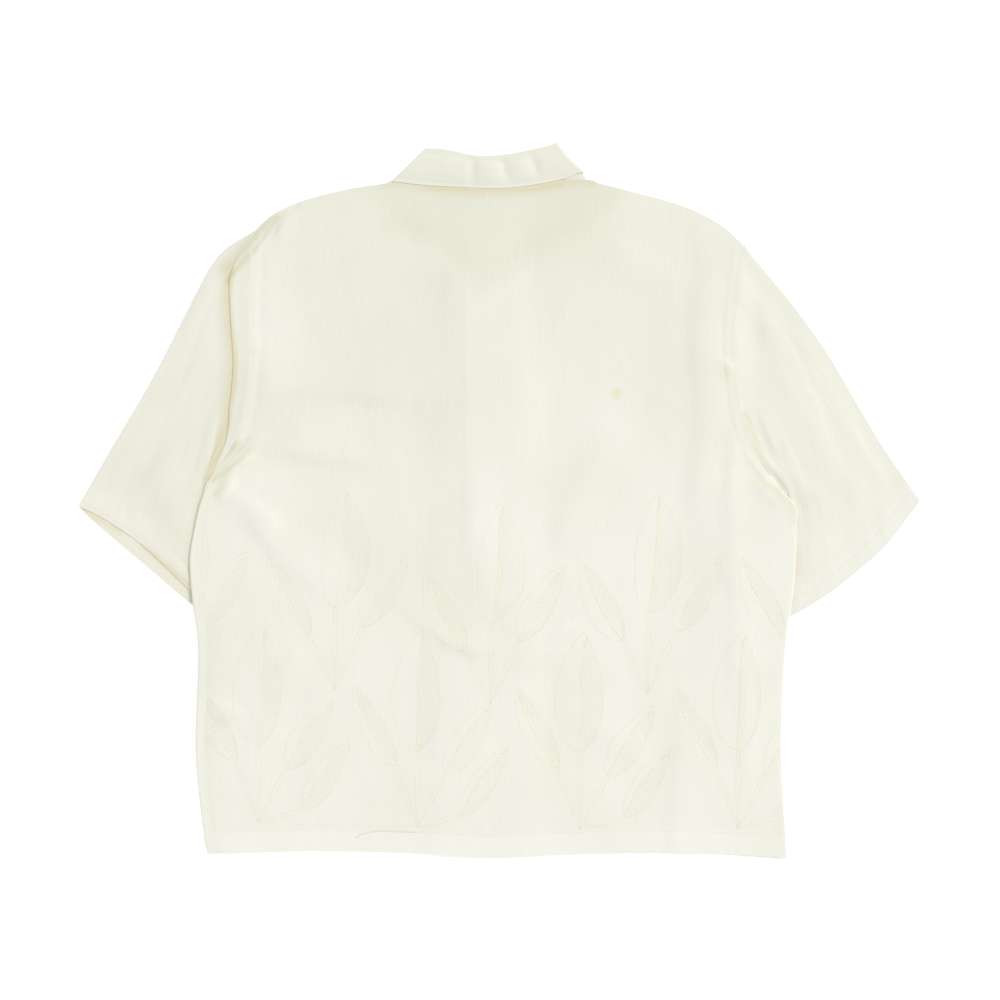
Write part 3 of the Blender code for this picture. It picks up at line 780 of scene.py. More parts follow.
def sewn_band(name, distance, gathers):
    """A turned band along an edge, raised as far as its stitching, which sinks in and gathers it."""
    width, step, groove_at, groove, gathers_at, reach, raised, sunk, gathered = BANDS[name]
    relief = raised * ease((width - distance) / step) - sunk * ridge(distance, groove_at, groove)
    return relief + gathered * gathers * ridge(distance, gathers_at, reach)


def hem_gathers(across, up, seed):
    return soft_noise(across + GATHER_SLANT * up, up, *HEM_GATHERS, seed)


def seam_relief(row, x, y, hem_y):
    """The felled bands and gathers of the back's seams and hem."""
    left_x, _, _, right_x, _, _ = edges_at(row)
    above = ease((row - UNDERARM_ROW + 1) / SIDE_FADE_ROWS)
    height = sewn_band("hem", y - hem_y, hem_gathers(x, y - hem_y, HEM_SEED))
    for distance, seed in zip((x - left_x, right_x - x), ARMHOLE_SEEDS):
        gathers = soft_noise(distance, y, *ARMHOLE_GATHERS, seed)
        height = height + above * sewn_band("armhole", distance, gathers)
    return height


def left_roll(row):
    left_x, left_y = edges_at(row)[:2]
    return (back_height(row, left_x + seam_in(row), left_y) - front_left_height(left_x, left_y)) / 2


def right_roll(row):
    right_x, right_y = edges_at(row)[3:5]
    under = front_right_height(right_x - seam_in(row), right_y)
    return (back_height(row, right_x, right_y) - under) / 2


def back_place(column, row):
    left_in = seam_in(row) * on_side(row)
    right_in = (right_roll(row) + CLOTH / 2) * on_side(row)
    x, y = body_xy(column, row, left_in, right_in)
    hem_y = body_xy(column, np.zeros_like(row), left_in, right_in)[1]
    return np.stack([x, y, back_height(row, x, y) + seam_relief(row, x, y, hem_y)], axis=1)


def front_left_place(column, row):
    left_in = (left_roll(row) + CLOTH / 2) * on_side(row) + ARMHOLE_IN * (1 - on_side(row))
    x, y = body_xy(column, row, left_in, FRONT_EDGE_IN, FRONT_NECKLINE)
    return np.stack([x, y, front_left_height(x, y)], axis=1)


def front_right_place(column, row):
    right_in = seam_in(row) * on_side(row) + ARMHOLE_IN * (1 - on_side(row))
    first = SIDE_STEPS + PLACKET_LEFT_LINE
    x, y = body_xy(column + first, row, FRONT_EDGE_IN, right_in, FRONT_NECKLINE)
    return np.stack([x, y, front_right_height(x, y)], axis=1)


def rolled_strip(start, end, turned, outward):
    """A half turn from start up or down to the end's height, then flat on to the end."""
    angle = math.pi * np.clip(turned, 0, 1)
    radius = np.abs(end[:, 2] - start[:, 2]) / 2
    flat = np.clip(turned - 1, 0, 1)
    x = start[:, 0] + outward * radius * np.sin(angle)
    z = (start[:, 2] + end[:, 2]) / 2 - (end[:, 2] - start[:, 2]) / 2 * np.cos(angle)
    return np.stack([mix(x, end[:, 0], flat), start[:, 1], z], axis=1)


def left_strip_place(turned, row):
    start = front_left_place(np.zeros_like(row), row)
    end = back_place(np.zeros_like(row), row)
    return rolled_strip(start, end, turned, -1)


def right_strip_place(turned, row):
    start = back_place(np.full_like(row, BACK_COLUMNS), row)
    last = BACK_COLUMNS - SIDE_STEPS - PLACKET_LEFT_LINE
    end = front_right_place(np.full_like(row, last), row)
    return rolled_strip(start, end, turned, 1)


# The sleeves

def sleeve_patch(sleeve, cuff, u, v):
    """A point between armhole, cuff, outer fold and underarm, in plan."""
    first = 0 if sleeve["side"] < 0 else 3

    def armhole(share):
        edges = edges_at(TOP_ROW - share * (TOP_ROW - UNDERARM_ROW))
        return np.stack([edges[first], edges[first + 1]], axis=-1)

    def edge(name, share):
        return along_curve(sleeve[name], share)

    start, end = np.zeros_like(u), np.ones_like(u)
    u2, v2 = u[..., None], v[..., None]
    ruled = mix(armhole(u), edge(cuff, u), v2) + mix(edge("outer_fold", v), edge("underarm", v), u2)
    near = mix(armhole(start), armhole(end), u2)
    far = mix(edge(cuff, start), edge(cuff, end), u2)
    return ruled - mix(near, far, v2)


def sleeve_length(sleeve, u):
    start = sleeve_patch(sleeve, "cuff_upper", u, np.zeros_like(u))
    end = sleeve_patch(sleeve, "cuff_upper", u, np.ones_like(u))
    return np.linalg.norm(end - start, axis=-1)


def share_of(place, start, end):
    """How far a place is on its way from start to end, from 0 to 1."""
    return np.clip((place - start) / (end - start), 0, 1)


def right_lip(length, station, seam, flat):
    """The right sleeve's upper cloth just runs down from the seam."""
    lip_end, fold_end = LIP_SHARE, LIP_SHARE + LIP_FOLD_SHARE
    out = RIGHT_LIP * share_of(station, 0, lip_end) + LIP_SPREAD * share_of(station, lip_end, fold_end)
    out = out + (length - RIGHT_LIP - LIP_SPREAD) * share_of(station, fold_end, 1)
    return out / length, mix(seam, flat, ease(out / RIGHT_LIP_RISE))


def left_lip(length, u, station, seam, flat):
    """The left sleeve's upper cloth runs out on a lip, turns back under it and comes out again.

    The fold opens out towards the shoulder and the underarm.
    """
    lip = np.interp(u, *zip(*LIP_WIDTHS))
    on_lip = share_of(station, 0, LIP_SHARE)
    in_fold = share_of(station, LIP_SHARE, LIP_SHARE + LIP_FOLD_SHARE)
    beyond = share_of(station, LIP_SHARE + LIP_FOLD_SHARE, 1)
    open_out = lip * on_lip + LIP_SPREAD * in_fold + (length - lip - LIP_SPREAD) * beyond
    open_up = mix(seam, flat, ease(share_of(open_out, lip, lip + LIP_SPREAD + LIP_RISE)))
    folded = ease(u / LIP_FADE_HIGH) * ease((1 - u) / LIP_FADE_LOW)
    tuck = LIP_TUCK * folded
    seam = seam - LIP_SINK * ease(on_lip * lip / LIP_SINK_WIDTH) * folded
    low = np.minimum(mix(seam, flat, VALLEY_SHARE), seam - VALLEY_DEPTH)
    middle = (seam + low) / 2
    turned_out, run_back, turned_in = LIP_TURNS
    out_turn = share_of(in_fold, 0, turned_out) * math.pi
    in_turn = share_of(in_fold, run_back, turned_in) * math.pi
    out_again = share_of(in_fold, turned_in, 1)
    fold_out = lip * on_lip + (seam - middle) / 2 * np.sin(out_turn)
    fold_out = fold_out - tuck * ease(share_of(in_fold, turned_out, run_back))
    fold_out = fold_out - (middle - low) / 2 * np.sin(in_turn)
    fold_out = fold_out + (tuck + LIP_RUN_OUT) * out_again + (length - lip - LIP_RUN_OUT) * beyond
    fold_up = seam - (seam - middle) * (1 - np.cos(out_turn)) / 2
    fold_up = fold_up - (middle - low) * (1 - np.cos(in_turn)) / 2
    past_lip = np.maximum(fold_out - lip, 0) * (beyond > 0)
    fold_up = mix(fold_up, flat, ease(past_lip / LIP_FLANK))
    return mix(open_out, fold_out, folded) / length, mix(open_up, fold_up, folded)


def lip_profile(sleeve, u, station, seam, flat):
    """How far out from the seam and how high the upper cloth lies, at stations from 0 to 1."""
    length = sleeve_length(sleeve, u)
    if sleeve["side"] > 0:
        return right_lip(length, station, seam, flat)
    return left_lip(length, u, station, seam, flat)


def round_tube(place):
    """How far down from the outer fold a place round the tube lies, and how far it has turned under."""
    over, turn, under = SLEEVE_STEPS
    marks = np.cumsum((0, over, turn, under, turn))
    return np.interp(place, marks, (0, 1, 1, 0, 0)), np.interp(place, marks, (0, 0, math.pi, math.pi, 0))


def upper_height(sleeve, u, v, top, x, y):
    """The upper cloth's height with its folds, wrinkles and hem, laid down at the cuff's edge."""
    length = sleeve_length(sleeve, u)
    out, from_cuff, across = v * length, (1 - v) * length, u * SLEEVE_GIRTH
    inside = ease(u / SLEEVE_ROUND) * ease((1 - u) / SLEEVE_ROUND)
    relief = fold_height(sleeve["folds"], x, y) * ease((out - FOLDS_FROM_SEAM) / FOLDS_FROM_SEAM)
    relief = relief + crumple(SLEEVE_CRUMPLES, across, out) * ease(out / CRUMPLE_FROM_SEAM)
    relief = relief + sewn_band("cuff", from_cuff, hem_gathers(across, from_cuff, CUFF_SEED))
    return mix(top + inside * relief, REST + CUFF_REST, inside * ease(1 - from_cuff / CUFF_FLAT))


def rim_reach(sleeve, u, v, turned, radius):
    """How far the tube's turned rim stands out from its edge in plan."""
    edge = np.round(u)
    step = np.where(edge > 0.5, -RIM_STEP, RIM_STEP)
    rim = sleeve_patch(sleeve, "cuff_upper", edge, v) - sleeve_patch(sleeve, "cuff_upper", edge + step, v)
    outward = rim / np.maximum(np.linalg.norm(rim, axis=-1), SAME_PLACE * MM)[..., None]
    near_edge = ease(1 - np.abs(u - edge) / RIM_SHARE)
    inset = np.clip(v * sleeve_length(sleeve, u) / RIM_INSET, 0, 1) * near_edge
    reach = radius * np.sin(turned) - (radius + CLOTH / 2) * inset
    return outward * reach[..., None]


def sleeve_place(name, place, station):
    """Points of the flattened tube; place counts round it from the outer fold over the top.

    Stations below nought are the allowance that runs in under the back.
    """
    sleeve = SLEEVES[name]
    under_back = np.clip(-station / ALLOWANCE, 0, 1)
    station = np.maximum(station, 0)
    u, turned = round_tube(place)
    row = TOP_ROW - u * (TOP_ROW - UNDERARM_ROW)
    first = 0 if sleeve["side"] < 0 else 3
    edge_x, edge_y = edges_at(row)[first : first + 2]
    seam = back_height(row, edge_x, edge_y)
    seam = seam + seam_relief(row, edge_x, edge_y, np.full_like(row, HEM_LINE[0][1]))
    loft = SLEEVE_LOFT - CUFF_DROP * ease(share_of(station, CUFF_DROP_FROM, 1))
    flat = REST + BACK_PITCH + loft * ease(u / SLEEVE_RAMP) * ease((1 - u) / SLEEVE_RAMP)
    v, top = lip_profile(sleeve, u, station, seam, flat)
    plain_v = lip_profile(sleeve, np.zeros_like(u), station, seam, flat)[0]
    v = mix(v, plain_v, ease(1 - u / SLEEVE_PLAIN))
    v = mix(v, plain_v, ease(1 - (1 - u) / SLEEVE_PLAIN))
    upper = sleeve_patch(sleeve, "cuff_upper", u, v)
    lower = sleeve_patch(sleeve, "cuff_lower", u, plain_v)
    top = upper_height(sleeve, u, v, top, upper[..., 0], upper[..., 1])
    rim = rim_reach(sleeve, u, v, turned, np.maximum(top - REST, 0) / 2)
    share = (1 - np.cos(turned)) / 2
    lapped = under_back * ease(u / SLEEVE_ROUND) * ease((1 - u) / SLEEVE_ROUND) * (1 - share)
    upper[..., 0] -= sleeve["side"] * SEAM_LAP * lapped
    top = top - LAP_STEP * ease(lapped * LAP_TURN)
    return np.column_stack([mix(upper, lower, share[..., None]) + rim, mix(top, REST, share)])


# The collar

def fall_relief(x, y, down_fall, seen):
    """The fall's swell, dents, droop and stitched groove, where it lies on the back."""
    on_fall = ease(down_fall * FALL_RAMP) * seen
    dents = np.zeros(len(x))
    for dent_x, lean, depth, width in COLLAR_DENTS:
        dents = dents + depth * ridge(x - dent_x - lean * (y - DENT_Y), 0, width)
    swell = FALL_SWELL * ease(down_fall * SWELL_RAMP) * ease((SWELL_END - down_fall) * SWELL_END_RAMP)
    droop = FALL_DROOP * ease(share_of(down_fall, DROOP_FROM, 1))
    groove = COLLAR_GROOVE * ridge(down_fall, COLLAR_GROOVE_AT, COLLAR_GROOVE_WIDTH)
    return on_fall * (swell + FALL_OVER + dents * ease((1 - down_fall) / DENT_FADE) - droop - groove)


def collar_place(place, section):
    """Points of the collar, from its seam over the fold to the free edge of its fall."""
    stand, turn_steps, fall = COLLAR_STEPS
    rows = held_at(COLLAR_SECTIONS, section)
    seam, fold, edge = rows[:, 0:2], rows[:, 2:4], rows[:, 4:6]
    side = np.interp(section, np.arange(len(COLLAR_SECTIONS)), [row[6] for row in COLLAR_SECTIONS])
    turn = (FALL_OUT - STAND_OUT) / 2
    up = fold - (seam + edge) / 2
    up = up / np.linalg.norm(up, axis=1)[:, None]
    top = fold - up * (turn + CLOTH / 2)
    angle = math.pi * np.clip((place - stand) / turn_steps, 0, 1)
    up_stand = np.clip(place / stand, 0, 1)[:, None]
    down_fall = np.clip((place - stand - turn_steps) / fall, 0, 1)
    plan = mix(seam, top, up_stand) + up * (turn * np.sin(angle))[:, None]
    plan = mix(plan, edge, down_fall[:, None])
    out = STAND_OUT + turn * (1 - np.cos(angle))
    around = np.radians(side)
    outward = np.where(fold[:, 0] < COLLAR_CENTRE_X, -1.0, 1.0)
    diagonal = np.stack([outward, np.ones(len(fold))], axis=1) / math.sqrt(2)
    plan = plan + diagonal * (COLLAR_SPREAD * out * np.cos(around))[:, None]
    seen = ease((side - SEEN_FROM) / SEEN_RAMP)
    height = COLLAR_MIDDLE + out * np.sin(around) + fall_relief(plan[:, 0], plan[:, 1], down_fall, seen)
    height = height + seen * FALL_OPEN * (place > stand + turn_steps / 2)
    return np.column_stack([plan, height])


# Making pieces

def near_line(points, line, near, far):
    """How close points are to a line in plan, from 1 on it to 0 at its reach to the left or right."""
    line = np.asarray(line, float)
    starts, steps = line[:-1], np.diff(line, axis=0)
    offsets = points[:, None, :2] - starts[None]
    share = np.clip((offsets * steps).sum(axis=2) / (steps**2).sum(axis=1), 0, 1)
    gaps = offsets - share[..., None] * steps
    distance = np.linalg.norm(gaps, axis=2)
    nearest = np.argmin(distance, axis=1)
    rows = np.arange(len(points))
    side = gaps[rows, nearest, 0] * steps[nearest, 1] - gaps[rows, nearest, 1] * steps[nearest, 0]
    reach = np.where(side < 0, near, far)
    return ease(1 - distance[rows, nearest] / reach)


def shade_of(table, node_name, points):
    """The strongest of a table's lines of shade at a node's points."""
    shade = np.zeros(len(points))
    for name, strength, near, far, line in table:
        if name == node_name:
            shade = np.maximum(shade, strength * near_line(points, line, near, far))
    return shade


def grid_into(mesh, columns, rows, place, flat, layers):
    """A grid whose corners go where place says, with its flat cut as the UV map, in metres.

    It also keeps how many layers of cloth lie there, which shows through the thin cloth, less the painted
    shade taken off that count, and the painted warm shade of the hollows.
    """
    uv_layer = mesh.loops.layers.uv["UVMap"]
    layer_count_and_shade = mesh.verts.layers.float["layers"]
    hollow = mesh.verts.layers.float["hollow"]
    made = bmesh.ops.create_grid(mesh, x_segments=columns, y_segments=rows, size=1)["verts"]
    column = np.array([(vert.co.x + 1) / 2 for vert in made])
    row = np.array([(vert.co.y + 1) / 2 for vert in made])
    points = place(column, row) * MM
    cut = flat(column, row, points / MM) * MM
    counts, shades = layers(points / MM)
    spots = {}
    for vert, point, spot, count, shade in zip(made, points, cut, counts, shades):
        vert.co = point
        vert[layer_count_and_shade] = count
        vert[hollow] = shade
        spots[vert] = spot
    for face in {face for vert in made for face in vert.link_faces}:
        for loop in face.loops:
            loop[uv_layer].uv = spots[loop.vert]


def finish_piece(name, mesh, material):
    data = bpy.data.meshes.new(name)
    mesh.to_mesh(data)
    mesh.free()
    data.polygons.foreach_set("use_smooth", [True] * len(data.polygons))
    data.materials.append(material)
    piece = bpy.data.objects.new(name, data)
    bpy.context.scene.collection.objects.link(piece)
    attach(piece, "root")
    return piece


def cloth_piece(name, grids, material, node, layers):
    """A thin shell from open grids that meet, in place of its solid."""
    mesh = bmesh.new()
    mesh.loops.layers.uv.new("UVMap")
    mesh.verts.layers.float.new("layers")
    mesh.verts.layers.float.new("hollow")
    for columns, rows, place, flat in grids:
        grid_into(mesh, columns, rows, place, flat, lambda p: (layers(p), shade_of(HOLLOWS, node, p)))
    bmesh.ops.remove_doubles(mesh, verts=mesh.verts, dist=SAME_PLACE * MM)
    bmesh.ops.recalc_face_normals(mesh, faces=mesh.faces)
    for edge in mesh.edges:
        edge.smooth = not edge.is_boundary
    piece = finish_piece(name, mesh, material)
    wall = piece.modifiers.new("cloth", "SOLIDIFY")
    wall.thickness = CLOTH * MM
    wall.offset = 0
    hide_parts(node)
    return piece


def plan_as_flat(column, row, points):
    return points[:, :2]


def back_layers_and_shade(points):
    """One layer over the open neck, two over the fronts, three over their lap and in the hems, less painted
    shade towards the top, on the lower left side and in tight creases.
    """
    x, y = points[:, 0], points[:, 1]
    left_x, _, _, right_x, _, _ = edges_at(np.interp(y, ROW_YS, ROWS))
    neck = np.interp(x, *zip(*SEEN_NECKLINE))
    lap = np.zeros_like(x)
    for more, start, ramp, end, fade in LAP_LAYERS:
        lap = lap + more * ease((x - start) / ramp) * ease((end - x) / fade)
    lap = lap * ease((neck - y) / LAP_NECK_RAMP) * ease((y - LAP_FOOT_Y) / LAP_FOOT_RAMP)
    count = PLAIN_LAYERS - NECK_FEWER * ease((y - neck + NECK_MARGIN) / NECK_RAMP) + lap
    above_hem = y - np.interp(x, *zip(*HEM_LINE))
    count = count + HEM_LAYERS * ease((HEM_LAYERS_UP - above_hem) / HEM_LAYERS_RAMP)
    # Painted shade, darker towards the top of the back
    count = count - UPPER_BACK_SHADE * ease((y - HIGH_Y) / HIGH_RAMP)
    # Painted shade beside the lower left side seam
    beside = ease((left_x + LEFT_SIDE_SHADE_IN - x) / LEFT_SIDE_SHADE_RAMP)
    count = count - LEFT_SIDE_SHADE * beside * ease((LEFT_SIDE_SHADE_Y - y) / LEFT_SIDE_SHADE_DOWN)
    # Painted shade in tight creases
    count = count - shade_of(CREASE_SHADES, "back", points)
    from_seam = np.minimum(x - left_x, right_x - x)
    allowance = ease((SEAM_LAYERS_IN - from_seam) / SEAM_LAYERS_RAMP)
    count = count + SEAM_LAYERS * ease((y - ARMHOLE_Y) / ARMHOLE_RAMP) * allowance
    return count + crumple(LAYER_CLOUDS, x, y)


def sleeve_layers_and_shade(name):
    cuff = along_curve(SLEEVES[name]["cuff_upper"], np.linspace(0, 1, CUFF_POINTS))

    def count(points):
        nearest = np.min(np.linalg.norm(points[:, None, :2] - cuff[None], axis=2), axis=1)
        # Painted shade in tight creases lowers the sleeve's count
        layers = SLEEVE_LAYERS_AND_SHADE[name] - shade_of(CREASE_SHADES, name, points)
        return layers + CUFF_LAYERS * ease((CUFF_HEM + CUFF_LAYERS_IN - nearest) / CUFF_LAYERS_RAMP)

    return count


def even_layers(count):
    return lambda points: np.full(len(points), count)


def body_grids(place, columns, steps, wrap=None):
    """A panel as a grid with so many steps to a column and a row, and the strip that wraps an edge."""
    across, up = steps

    def panel(c, r):
        return place(c * columns, r * TOP_ROW)

    def strip(c, r):
        return wrap(c * STRIP_PARTS, r * UNDERARM_ROW)

    grids = [(columns * across, TOP_ROW * up, panel, plan_as_flat)]
    if wrap:
        grids.append((STRIP_STEPS, UNDERARM_ROW * up, strip, plan_as_flat))
    return grids


def make_body(material):
    left_columns = SIDE_STEPS + PLACKET_RIGHT_LINE
    right_columns = BACK_COLUMNS - SIDE_STEPS - PLACKET_LEFT_LINE
    grids = {
        "back": body_grids(back_place, BACK_COLUMNS, BACK_STEPS, right_strip_place),
        "front_left": body_grids(front_left_place, left_columns, LEFT_STEPS, left_strip_place),
        "front_right": body_grids(front_right_place, right_columns, RIGHT_STEPS),
    }
    pieces = {}
    for name, parts in grids.items():
        layers = back_layers_and_shade if name == "back" else even_layers(PLAIN_LAYERS)
        pieces[name] = cloth_piece(f"{name}_cloth", parts, material, name, layers)
    return pieces


def make_sleeve(name, material):
    loop = sum(SLEEVE_STEPS) + SLEEVE_STEPS[1]

    def place(c, r):
        return sleeve_place(name, c * loop, r * (1 + ALLOWANCE) - ALLOWANCE)

    def flat(c, r, points):
        return np.column_stack([c * SLEEVE_CUT[0], r * SLEEVE_CUT[1]])

    grid = (loop, SLEEVE_ROWS, place, flat)
    return cloth_piece(f"{name}_cloth", [grid], material, name, sleeve_layers_and_shade(name))


def make_collar(material):
    across = sum(COLLAR_STEPS)
    last = len(COLLAR_SECTIONS) - 1

    def place(c, r):
        return collar_place(c * across, r * last)

    def flat(c, r, points):
        return np.column_stack([c * COLLAR_CUT[0], r * COLLAR_CUT[1]])

    grid = (across, last * COLLAR_ROWS, place, flat)
    return cloth_piece("collar_cloth", [grid], material, "collar", even_layers(COLLAR_TONE))


# Threads

def blade_profile(share):
    """Half width of a leaf from its pointed tip to its round foot."""
    to_widest = (share / LEAF_WIDEST) ** LEAF_TIP_POWER
    return to_widest * ((1 - share) / (1 - LEAF_WIDEST)) ** LEAF_FOOT_POWER


def leaf_paths(leaf):
    """A leaf's outlines with its stem, its midrib and its veins in plan, round the sprig's root."""
    tip, foot, root = (np.array(leaf[i : i + 2], float) for i in (0, 2, 4))
    left, right, bow = leaf[6:]
    length = np.linalg.norm(foot - tip)
    across = np.array([-(foot - tip)[1], (foot - tip)[0]]) / length

    def middle(share):
        share = np.asarray(share, float)[..., None]
        return tip + (foot - tip) * share + across * bow * 4 * share * (1 - share)

    def sideways(path, waves):
        return path + across * (crumple(waves, path[:, 0], path[:, 1]))[:, None]

    shares = np.linspace(0, 1, OUTLINE_POINTS)
    held = (4 * shares * (1 - shares))[:, None]
    outlines = []
    for width in (-left, right):
        line = middle(shares) + across * (width * blade_profile(shares))[:, None]
        outlines.append(mix(line, sideways(line, OUTLINE_WANDER), held))
    along = np.linspace(RIB_START, 1, RIB_POINTS)
    taper = (across * ease(along / RIB_TAPER)[:, None]) * RIB_PITCH
    ribs = [sideways(middle(along), RIB_WANDER) + taper * place for place in (-1, 0, 1)]
    run = np.linspace(0, 1, STEM_POINTS)[:, None]
    stem_across = np.array([-(root - foot)[1], (root - foot)[0]]) / np.linalg.norm(root - foot)
    gap = stem_across * (STEM_GAP * (1 - run) + STEM_BULGE * np.sin(math.pi * run))
    stems = [mix(foot, root, run) + gap, mix(foot, root, run) - gap]
    run = np.linspace(0, 1, VEIN_POINTS)
    veins = []
    for start in np.arange(VEIN_FIRST, VEIN_LAST, VEIN_PITCH / length):
        end = max(start - VEIN_RUN, NEAR_TIP)
        reach = right * blade_profile(min(end, NEAR_FOOT))
        veins.append(middle(mix(start, end, run**VEIN_BEND)) + across * (reach * run)[:, None])
    return {"leaf_outlines": outlines + stems, "leaf_midribs": ribs, "leaf_veins": veins}


def laid_paths(paths, tree, lift, inside=None):
    """Plan paths dropped on a cloth, cut where they leave the part of it that is wanted."""
    laid = []
    for path in paths:
        run = []
        for x, y in path:
            point = tree.ray_cast(Vector((x, y, RAY_FROM)) * MM, Vector((0, 0, -1)))[0]
            if point is None or (inside and not inside(x, y)):
                laid.append(run)
                run = []
                continue
            run.append((x, y, point.z / MM + CLOTH / 2 + lift))
        laid.append(run)
    return [run for run in laid if len(run) > 1]


def thread_piece(name, paths, radius, material):
    """Threads of one thickness, each a run of points."""
    data = bpy.data.curves.new(name, "CURVE")
    data.dimensions = "3D"
    data.bevel_depth = radius * MM
    data.bevel_resolution = 0
    data.use_fill_caps = True
    for path in paths:
        spline = data.splines.new("POLY")
        spline.points.add(len(path) - 1)
        spline.points.foreach_set("co", [c for x, y, z in path for c in (x * MM, y * MM, z * MM, 1)])
    data.materials.append(material)
    piece = bpy.data.objects.new(name, data)
    bpy.context.scene.collection.objects.link(piece)
    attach(piece, "root")
    return piece


def surface_tree(piece):
    """The cloth's middle surface, to lay threads on."""
    return BVHTree.FromPolygons(
        [vert.co for vert in piece.data.vertices], [face.vertices for face in piece.data.polygons]
    )


def inside_back(x, y):
    rows = np.linspace(0, UNDERARM_ROW, ROW_POINTS)
    row = float(np.interp(y, edges_at(rows)[1], rows))
    left_x, _, _, right_x, _, _ = edges_at(row)
    return left_x + LEAF_EDGE_LEFT < x < right_x - LEAF_EDGE_RIGHT and y > HEM_Y


def make_embroidery(back, materials):
    tree = surface_tree(back)
    found = {name: [] for name in LEAF_THREADS}
    for sprig, root_x, root_y in SPRIG_PLACES:
        for leaf in SPRIGS[sprig]:
            for name, paths in leaf_paths(leaf).items():
                found[name] += [path + (root_x, root_y) for path in paths]
    for name, (lift, radius) in LEAF_THREADS.items():
        thread_piece(name, laid_paths(found[name], tree, lift, inside_back), radius, materials[name])


def dashes(path):
    """A line cut into stitches of one length."""
    path = np.asarray(path, float)
    steps = np.linalg.norm(np.diff(path, axis=0), axis=1)
    marks = np.concatenate([[0], np.cumsum(steps)])
    starts = np.arange(0, marks[-1] - STITCH, STITCH_PITCH)
    spots = starts[:, None] + np.array([0, 0.5, 1]) * STITCH
    return np.stack([np.interp(spots, marks, path[:, i]) for i in range(path.shape[1])], axis=-1)


def sunk_ends(paths):
    """Stitches whose ends go into the cloth."""
    return [[(x, y, z - STITCH_SINK * (i != 1)) for i, (x, y, z) in enumerate(path)] for path in paths]


def seam_lines():
    """The plan lines of the stitching on each cloth."""
    lines = {name: [] for name in ("back", "front_left", *SLEEVES)}
    start, end = HEM_STITCH_ENDS
    columns = np.linspace(start, BACK_COLUMNS - end, HEM_POINTS)
    hem_x, hem_y = body_xy(columns, np.zeros_like(columns), *HEM_STITCH_INSETS)
    lines["back"].append(np.stack([hem_x, hem_y + HEM_STITCH_UP], axis=1))
    upper = np.linspace(UNDERARM_ROW, TOP_ROW - ROW_CLEAR, ARMHOLE_POINTS)
    left_x, left_y, _, right_x, right_y, _ = edges_at(upper)
    for inset in ARMHOLE_STITCH_INSETS:
        lines["back"].append(np.stack([left_x + inset, left_y], axis=1))
        lines["back"].append(np.stack([right_x - inset, right_y], axis=1))
    lower = np.linspace(ROW_CLEAR, UNDERARM_ROW - 1, SIDE_POINTS)
    low_x, low_y = edges_at(lower)[:2]
    seam_x = low_x + seam_in(lower)
    lines["back"].append(np.stack([seam_x + SIDE_STITCH_BACK, low_y], axis=1))
    lines["front_left"].append(np.stack([seam_x - SIDE_STITCH_FRONT, low_y], axis=1))
    for name, sleeve in SLEEVES.items():
        u = np.linspace(CUFF_STITCH_ENDS, 1 - CUFF_STITCH_ENDS, CUFF_STITCH_POINTS)
        v = 1 - CUFF_STITCH_UP / sleeve_length(sleeve, u)
        lines[name].append(sleeve_patch(sleeve, "cuff_upper", u, v))
    return lines


def collar_stitches():
    section = np.linspace(*COLLAR_STITCH_SECTIONS, COLLAR_POINTS)
    near_edge = np.full_like(section, sum(COLLAR_STEPS) - COLLAR_STEPS[2] * COLLAR_STITCH_UP)
    edge = collar_place(near_edge, section)
    edge[:, 2] += CLOTH / 2 + STITCH_LIFT
    return list(dashes(edge))


def make_topstitching(pieces, material):
    trees = {name: surface_tree(piece) for name, piece in pieces.items()}
    laid = []
    for name, paths in seam_lines().items():
        cut = [dash for path in paths for dash in dashes(path)]
        laid += laid_paths(cut, trees[name], STITCH_LIFT)
    laid = [path for path in laid + collar_stitches() if len(path) == 3]
    puckered = [along_curve(HEM_PUCKER, np.linspace(0, 1, PUCKER_POINTS))]
    puckered = laid_paths(puckered, trees["back"], PUCKER_LIFT)
    thread_piece("hem_pucker", puckered, PUCKER_RADIUS, material)
    thread_piece("topstitching", sunk_ends(laid), STITCH_RADIUS, material)


def hole_places():
    return [(x * HOLE_REACH, y * HOLE_REACH) for x in (-1, 1) for y in (-1, 1)]


def turned_disc():
    mesh = bmesh.new()
    verts = [mesh.verts.new((radius * MM, 0, height * MM)) for radius, height in BUTTON_PROFILE]
    edges = [mesh.edges.new(pair) for pair in zip(verts, verts[1:])]
    bmesh.ops.spin(mesh, geom=verts + edges, cent=(0, 0, 0), axis=(0, 0, 1), angle=2 * math.pi,
                   steps=BUTTON_SIDES, use_merge=True)
    bmesh.ops.remove_doubles(mesh, verts=mesh.verts, dist=BUTTON_MERGE * MM)
    bmesh.ops.recalc_face_normals(mesh, faces=mesh.faces)
    return mesh


def hole_pins():
    mesh = bmesh.new()
    for x, y in hole_places():
        made = bmesh.ops.create_cone(mesh, cap_ends=True, segments=HOLE_SIDES, depth=HOLE_DEPTH * MM,
                                     radius1=HOLE_RADIUS * MM, radius2=HOLE_RADIUS * MM)
        bmesh.ops.translate(mesh, verts=made["verts"], vec=(x * MM, y * MM, MM))
    return mesh


def loose_object(name, mesh):
    data = bpy.data.meshes.new(name)
    mesh.to_mesh(data)
    mesh.free()
    made = bpy.data.objects.new(name, data)
    bpy.context.scene.collection.objects.link(made)
    return made


def drilled_button():
    """One button as mesh data, its four holes cut through."""
    disc, pins = loose_object("disc", turned_disc()), loose_object("pins", hole_pins())
    drill = disc.modifiers.new("holes", "BOOLEAN")
    drill.operation = "DIFFERENCE"
    drill.object = pins
    shaped = disc.evaluated_get(bpy.context.evaluated_depsgraph_get())
    data = bpy.data.meshes.new_from_object(shaped)
    for spare in (disc, pins):
        bpy.data.objects.remove(spare, do_unlink=True)
    return data


